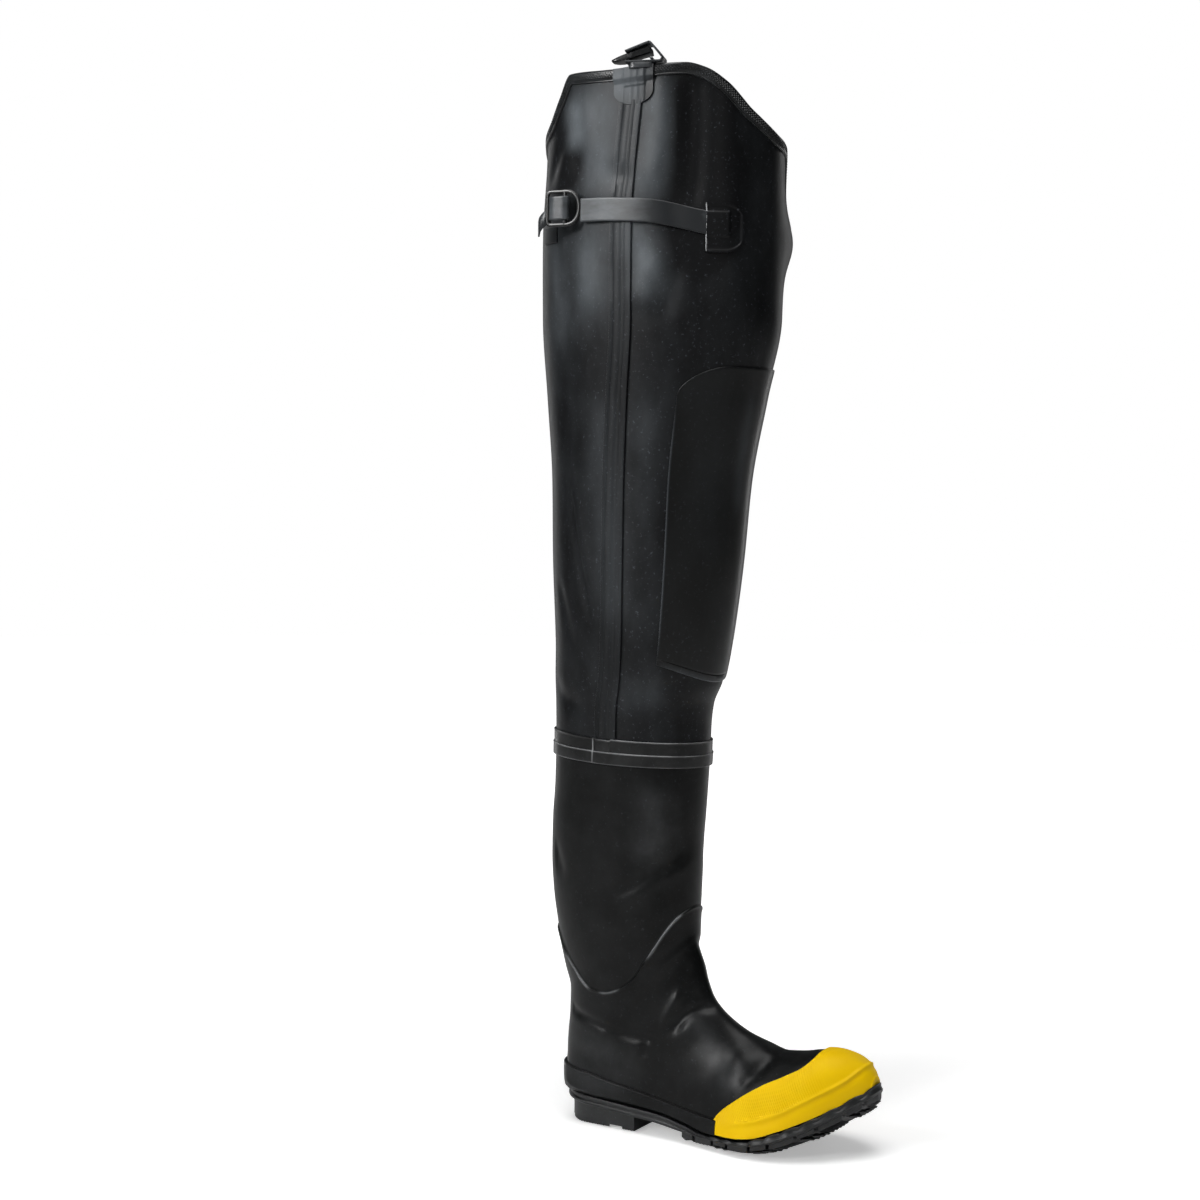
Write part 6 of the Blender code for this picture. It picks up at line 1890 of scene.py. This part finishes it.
@dataclass
class ThighStrap:
    """Strap round the outer side of the thigh with its buckle, its anchor and its pad."""

    form: BootForm
    width: float = 19.5 * MM
    thick: float = 1.8 * MM
    buckle_angle: float = -106.0
    buckle_rise: float = 0.8030
    buckle_length: float = 33 * MM
    buckle_width: float = 31 * MM
    buckle_thick: float = 2.6 * MM
    bar: float = 3.4 * MM
    middle_bar: tuple[float, float] = (3.0 * MM, 2.8 * MM)
    buckle_turn: float = 17.0
    corner: float = 3 * MM
    fold_thick: float = 1.5 * MM
    tail_width: float = 13 * MM
    anchor_angle: float = -133.0
    anchor_rise: float = 0.7700
    anchor_width: float = 14 * MM
    anchor_thick: float = 1.4 * MM
    pad_low: float = 0.7330
    pad_high: float = 0.8050
    pad_rear: float = -46.8
    pad_front: float = -27.0
    strap_rise: float = 0.7735
    edge_radius: float = 0.55 * MM

    def ribbon(self, path: Array, width: float, thick: float, roll: float = 0.5) -> Shape:
        """A flat strip with rounded edges along a path, standing on edge."""
        # Up the strip and out of its face, as shares of half its width and thickness
        section = ((-1, 1 - roll), (-0.95, 1), (-0.85, 1), (0.85, 1), (0.95, 1), (1, 1 - roll),
                   (1, -1 + roll), (0.95, -1), (-0.95, -1), (-1, -1 + roll))
        rings = []
        for i, point in enumerate(path):
            ahead = path[min(i + 1, len(path) - 1)] - path[max(i - 1, 0)]
            side = np.array([ahead[1], -ahead[0], 0.0])
            side = side / np.linalg.norm(side) * thick / 2
            rings.append([point + side * out + np.array([0, 0, up * width / 2]) for up, out in section])
        return Shape.tube(rings)

    def strap(self, material: Material) -> Piece:
        """Make the strap."""
        form = self.form
        keys, rises, lifts = columns(STRAP_ROWS)
        angles = np.linspace(keys[0], keys[-1], 90)
        z = form.height(smooth(keys, rises, angles))
        path = form.leg_point(angles, z, 0.3 * MM + self.thick / 2 + smooth(keys, lifts, angles) * self.thick)
        # Painted light on the rear part of the strap and painted shade on its front part
        marks = (Mark(((18, -80, 778), (34, -84, 778), (52, -86, 777)), 0.6, 12.0),
                 Mark(((96, -76, 772), (112, -70, 768), (122, -64, 765)), -0.5, 14.0))
        return make_piece("thigh_strap_band", self.ribbon(path, self.width, self.thick), material,
                          ("thigh_strap",), bloom=marks, sharp=60, rests=form)

    def frame_axes(self) -> tuple[Array, Array, Array]:
        """Middle, forward and outward direction of the buckle."""
        form = self.form
        level = form.height(self.buckle_rise)
        ahead = form.leg_point(self.buckle_angle + 2, level) - form.leg_point(self.buckle_angle - 2, level)
        turn = math.atan2(ahead[1], ahead[0]) + math.radians(self.buckle_turn)
        front = form.leg_point(self.buckle_angle, level, 0.3 * MM + 2.5 * self.thick)
        way = np.array([math.cos(turn), math.sin(turn), 0.0])
        out = np.array([math.sin(turn), -math.cos(turn), 0.0])
        return front - way * (self.buckle_length / 2 + 0.3 * MM), way, out

    def in_frame(self, rows: Sequence[Sequence[float]]) -> Array:
        """Places given as forward, outward and up from the buckle's middle."""
        middle, way, out = self.frame_axes()
        return np.array([middle + way * row[0] + out * row[1] + np.array([0, 0, row[2]]) for row in rows])

    def bar_shape(self, path: Array, wide: float, thick: float, close: bool) -> Shape:
        """A rounded bar along a flat path in the buckle's own plane, given as (forward, up)."""
        rings = []
        number = len(path)
        for i in range(number):
            after = path[(i + 1) % number] if close or i + 1 < number else path[i]
            before = path[i - 1] if close or i > 0 else path[i]
            ahead = (after - before) / np.linalg.norm(after - before)
            side = np.array([-ahead[1], ahead[0]])
            rows = []
            for turn in np.linspace(0, 2 * math.pi, 12, endpoint=False):
                a, b = (math.copysign(abs(wave) ** 0.6, wave) for wave in (math.cos(turn), math.sin(turn)))
                forward, up = path[i] + side * a * wide / 2
                rows.append((forward, b * thick / 2, up))
            rings.append(self.in_frame(rows))
        return Shape.tube(rings, wrap=close)

    def frame_outline(self) -> Array:
        """The frame's middle line: D-shaped in front, with two rounded corners behind."""
        half_long = (self.buckle_length - self.bar) / 2
        half_wide = (self.buckle_width - self.bar) / 2
        radius = half_wide * 0.86
        outline = []
        for angle in np.radians(np.linspace(-90, 90, 25)):
            outline.append((half_long - radius + radius * math.cos(angle),
                            half_wide * math.copysign(abs(math.sin(angle)) ** 0.85, math.sin(angle))))
        for start, up in ((90, half_wide - self.corner), (180, -half_wide + self.corner)):
            for angle in np.radians(np.linspace(start, start + 90, 7)):
                outline.append((self.corner - half_long + self.corner * math.cos(angle),
                                up + self.corner * math.sin(angle)))
        return np.array(outline)

    def buckle(self, plastic: Material, rubber: Material) -> list[Piece]:
        """Make the D-ended frame with its bar, and the folded strap end in it."""
        half_wide = (self.buckle_width - self.bar) / 2
        bar = np.array([(1.5 * MM, share * half_wide) for share in np.linspace(-0.98, 0.98, 15)])
        frame = self.bar_shape(self.frame_outline(), self.bar, self.buckle_thick, True)
        frame = frame.join(self.bar_shape(bar, *self.middle_bar, False))
        # The strap's end goes over the middle bar and back over itself: forward and outward
        over_bar = ((-14.5, -1.2), (-9.0, 2.2), (-4.0, 3.0), (1.0, 3.1), (4.2, 1.8), (4.6, -0.6), (2.0, -2.4),
                    (-6.0, -2.8), (-15.5, -3.4))
        path = [(*row, 0.0) for row in curve_through(np.array(over_bar) * MM, 60)]
        # Its loose end behind the buckle: forward, outward and up
        hanging = ((-13.0, -2.6, -5.4), (-18.0, -1.0, -8.1), (-22.5, -1.5, -12.15), (-24.5, -3.0, -16.2))
        tail = curve_through(np.array(hanging) * MM, 24)
        fold = self.ribbon(self.in_frame(path), self.width, self.fold_thick)
        fold = fold.join(self.ribbon(self.in_frame(tail), self.tail_width, self.fold_thick))
        # A painted highlight on the strap end where it rounds the bar
        painted_highlight = Mark.along(self.in_frame(((4 * MM, 3 * MM, 0), (-10 * MM, 0, 0))), 0.7, 9.0)
        stitches = self.in_frame([(-5.2 * MM, 3.35 * MM, share * self.width / 2)
                                  for share in np.linspace(-0.9, 0.9, 13)])
        outward = [self.frame_axes()[2]] * len(stitches)
        return [make_piece("thigh_buckle_frame", frame, plastic, ("thigh_buckle",),
                           sharp=50),
                make_piece("thigh_strap_end", fold, rubber, (), bloom=(painted_highlight,), sharp=60),
                studs("strap_end_stitches", stitches, Stud.DOME, (0.42 * MM, 0.35 * MM, 1.0), rubber,
                      outward)]

    def anchor(self, material: Material) -> Piece:
        """Make the small patch behind the buckle."""
        form = self.form
        reach = math.degrees(self.anchor_width / form.sizes.thigh_depth * 2)
        angles = np.linspace(self.anchor_angle - reach, self.anchor_angle + reach, 24)
        path = form.leg_point(angles, form.height(self.anchor_rise), self.anchor_thick / 2)
        return make_piece("strap_anchor_patch", self.ribbon(path, self.anchor_width, self.anchor_thick),
                          material, ("strap_anchor",), sharp=60, rests=form)

    def pad(self, material: Material, painted_highlight_edge: Material) -> list[Piece]:
        """Make the D-shaped pad, the strap's buried end and the slit's edge with its painted highlight."""
        form = self.form
        low = form.height(self.pad_low)
        high = form.height(self.pad_high)
        us = np.linspace(0, 1, 41) ** 0.8
        angles = self.pad_rear + (self.pad_front - self.pad_rear) * us
        round_off = np.sqrt(np.clip(1 - np.clip((us - 0.42) / 0.58, 0, 1) ** 2.2, 0, 1))
        shares = np.concatenate([(-1, -1, -0.97, -0.93), np.linspace(-0.88, 0.88, 40), (0.93, 0.97, 1, 1)])
        z = (low + high) / 2 + shares[:, None] * ((high - low) / 2) * round_off[None, :]
        border = np.maximum(np.abs(shares)[:, None], us[None, :])
        lift = 1.6 * MM + 0.9 * MM * np.clip((border - 0.86) / 0.05, 0, 1)
        buried = bell(past(np.abs(z - form.height(self.strap_rise)), 9.5 * MM), 0.9 * MM)
        lift = lift + buried * bell(past(us[None, :], 0.55), 0.035) * 1.1 * MM
        lift[[0, -1]] = -0.2 * MM
        lift[:, [0, -1]] = -0.2 * MM
        turns = np.repeat(angles[None, :], len(shares), axis=0)
        turns[:, 1] = turns[:, 0] + 0.05
        turns[:, -2] = turns[:, -1] - 0.05
        shape = Shape.slab(form.leg_point(turns, z, lift), form.leg_point(turns, z, -0.2 * MM))
        edge = form.leg_point(self.pad_rear - 0.1, np.linspace(low + 1 * MM, high - 0.5 * MM, 60), 1.9 * MM)
        rings = []
        for point in edge:
            wobble = 0.12 * MM * math.sin(point[2] * 900) + 0.1 * MM * math.sin(point[2] * 2100)
            rings.append([point + np.array([self.edge_radius * math.cos(turn) + wobble,
                                            self.edge_radius * math.sin(turn), 0])
                          for turn in np.linspace(0, 2 * math.pi, 8, endpoint=False)])
        # The slit's edge carries a painted highlight in the band rubber's pale tone
        return [make_piece("strap_pad_skin", shape, material, ("strap_pad",), sharp=40,
                           bloom=SHAFT_PAINTED_LIGHT_AND_SCUFFS, rests=form),
                make_piece("strap_pad_edge", Shape.tube(rings), painted_highlight_edge, (),
                           bloom=(Mark.along(edge[[4, 30, 55]], 3.0, 6.0),), rests=form)]


@dataclass(frozen=True)
class SoftBox:
    """One soft light, placed from the boot in the camera's own directions."""

    name: str
    right: float
    near: float
    up: float
    size: tuple[float, float]
    watts: float
    aim: float
    spread: float = 180.0


LIGHTS = (
    SoftBox("key_box", -1.25, 0.70, 1.42, (0.6, 0.7), 2.5, 0.86, 50),
    SoftBox("low_box", -1.5, 1.3, 0.8, (0.5, 0.5), 0.9, 0.02, 40),
    SoftBox("front_box", 0.5, 3.0, 1.6, (1.2, 1.2), 5, 0.3),
    SoftBox("top_box", -0.1, 0.5, 3.2, (2.0, 2.0), 66, 0.1),
    SoftBox("left_rim", -1.3, -2.1, 0.9, (0.3, 2.0), 5, 0.45),
    SoftBox("right_rim", 1.5, -1.9, 0.9, (0.3, 2.0), 5, 0.45),
)


@dataclass
class Studio:
    """Plain floor, soft lights and the camera."""

    target: tuple[float, float] = (0.05, 0.0)
    place: tuple[float, float, float] = (0.9901, -1.5838, 0.5475)
    lens: float = 64.32
    shift: tuple[float, float] = (-0.0433, -0.0442)
    yaw: float = 30.75
    pitch: float = 1.54
    roll: float = 0.79
    floor_radius: float = 6.0

    def level_axes(self) -> tuple[Vector, Vector]:
        """Level directions to the camera's right, and ahead of it."""
        yaw = math.radians(self.yaw)
        return Vector((math.cos(yaw), math.sin(yaw), 0)), Vector((-math.sin(yaw), math.cos(yaw), 0))

    def camera(self) -> None:
        """Set the camera at the photograph's angle."""
        data = bpy.data.cameras.new("camera")
        data.lens = self.lens
        data.sensor_width = 36.0
        data.shift_x, data.shift_y = self.shift
        data.clip_end = 50.0
        held = bpy.data.objects.new("camera", data)
        bpy.context.scene.collection.objects.link(held)
        pitch, roll = math.radians(self.pitch), math.radians(self.roll)
        right, ahead = self.level_axes()
        up = Vector((0, 0, 1))
        tilted = ahead * math.cos(pitch) - up * math.sin(pitch)
        raised = up * math.cos(pitch) + ahead * math.sin(pitch)
        axes = (right * math.cos(roll) + raised * math.sin(roll),
                raised * math.cos(roll) - right * math.sin(roll), -tilted)
        held.matrix_world = Matrix.Translation(self.place) @ Matrix(axes).transposed().to_4x4()
        bpy.context.scene.camera = held

    def light(self, soft: SoftBox) -> None:
        """Set one soft box."""
        right, ahead = self.level_axes()
        data = bpy.data.lights.new(soft.name, "AREA")
        data.shape = "RECTANGLE"
        data.size, data.size_y = soft.size
        data.energy = soft.watts
        data.spread = math.radians(soft.spread)
        box = bpy.data.objects.new(soft.name, data)
        bpy.context.scene.collection.objects.link(box)
        spot = Vector((*self.target, 0)) + right * soft.right - ahead * soft.near + Vector((0, 0, soft.up))
        box.location = spot
        box.rotation_euler = (spot - Vector((*self.target, soft.aim))).to_track_quat("Z", "Y").to_euler()
        box.visible_camera = False

    def floor(self) -> None:
        """Make the floor of white paper, which fades to plain white away from the boot."""
        bpy.ops.mesh.primitive_circle_add(vertices=96, radius=self.floor_radius, fill_type="NGON")
        floor = bpy.context.object
        floor.name = "floor"
        paper, tree, shader, where = start_material("white_paper_floor")
        fibre = add(tree, "ShaderNodeTexNoise", inputs={"Vector": where, "Scale": 90.0, "Detail": 3.0})
        tone = add(tree, "ShaderNodeMix", {"data_type": "RGBA"}, {
            "Factor_Float": fibre.outputs["Fac"], "A_Color": linear("f4f4f4"), "B_Color": linear("f9f9f9")})
        away = add(tree, "ShaderNodeVectorMath", {"operation": "LENGTH"}, {"Vector": where})
        far = add(tree, "ShaderNodeMapRange", {"interpolation_type": "SMOOTHSTEP"}, {
            "Value": away.outputs["Value"], "From Min": 0.15, "From Max": 1.5, "To Min": 0.38, "To Max": 1.0})
        seen = add(tree, "ShaderNodeLightPath")
        lit = add(tree, "ShaderNodeMath", {"operation": "MULTIPLY"}, {
            "Value": far.outputs["Result"], "Value_001": seen.outputs["Is Camera Ray"]})
        fill(tree, shader, {
            "Base Color": tone.outputs[2], "Roughness": 0.9, "Specular IOR Level": 0.1,
            "Emission Color": (1.0, 1.0, 1.0, 1.0), "Emission Strength": lit.outputs["Value"]})
        floor.data.materials.append(paper)

    def build(self) -> None:
        """Make the camera, the floor, the surroundings and the lights."""
        self.camera()
        self.floor()
        scene = bpy.context.scene
        scene.view_settings.view_transform = "Standard"
        world = bpy.data.worlds.new("studio")
        scene.world = world
        world.use_nodes = True
        sky = world.node_tree
        seen = add(sky, "ShaderNodeLightPath")
        strength = add(sky, "ShaderNodeMapRange", inputs={
            "Value": seen.outputs["Is Camera Ray"], "To Min": 0.06, "To Max": 1.0})
        fill(sky, sky.nodes["Background"], {
            "Color": (1.0, 1.0, 1.0, 1.0), "Strength": strength.outputs["Result"]})
        for soft in LIGHTS:
            self.light(soft)


def main() -> None:
    """Build the boot round its solids, piece by piece."""
    logging.basicConfig(level=logging.INFO, format="%(name)s: %(message)s")
    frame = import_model()
    LOG.info("%d solids in the frame", len(frame["nodes"]))
    form = BootForm(BootSizes())
    calf, shaft, tape, sole, strap, plastic, band = (finish.build() for finish in (
        CALF_RUBBER, SHAFT_RUBBER, TAPE_RUBBER, SOLE_RUBBER, STRAP_RUBBER, BUCKLE_PLASTIC, BAND_RUBBER))

    upper = Upper(form)
    upper.build(calf)
    ToeCap(form).build(CAP_RUBBER.build())
    Foxing(form, upper.skin()).build(calf)
    tread = Sole(form)
    tread.build(sole)
    tread.heel(sole)
    Insole(form).build(INSOLE_BOARD.build())

    Shaft(form).build(shaft, KnitFinish().build())
    JointBand(form).build(band)
    SeamTape(form, top=float(form.collar(-82.0)) - 26 * MM).build(tape)
    KneePatch(form).build(PATCH_RUBBER.build())
    Binding(form).build(BINDING_RUBBER.build())

    belt = BeltFittings(form)
    belt.tab(tape)
    belt.strap(strap)
    belt.buckle(plastic)
    belt.pin(SteelFinish().build())

    thigh = ThighStrap(form)
    thigh.strap(strap)
    thigh.buckle(plastic, strap)
    thigh.anchor(tape)
    thigh.pad(shaft, band)

    Studio().build()


if __name__ == "__main__":
    main()
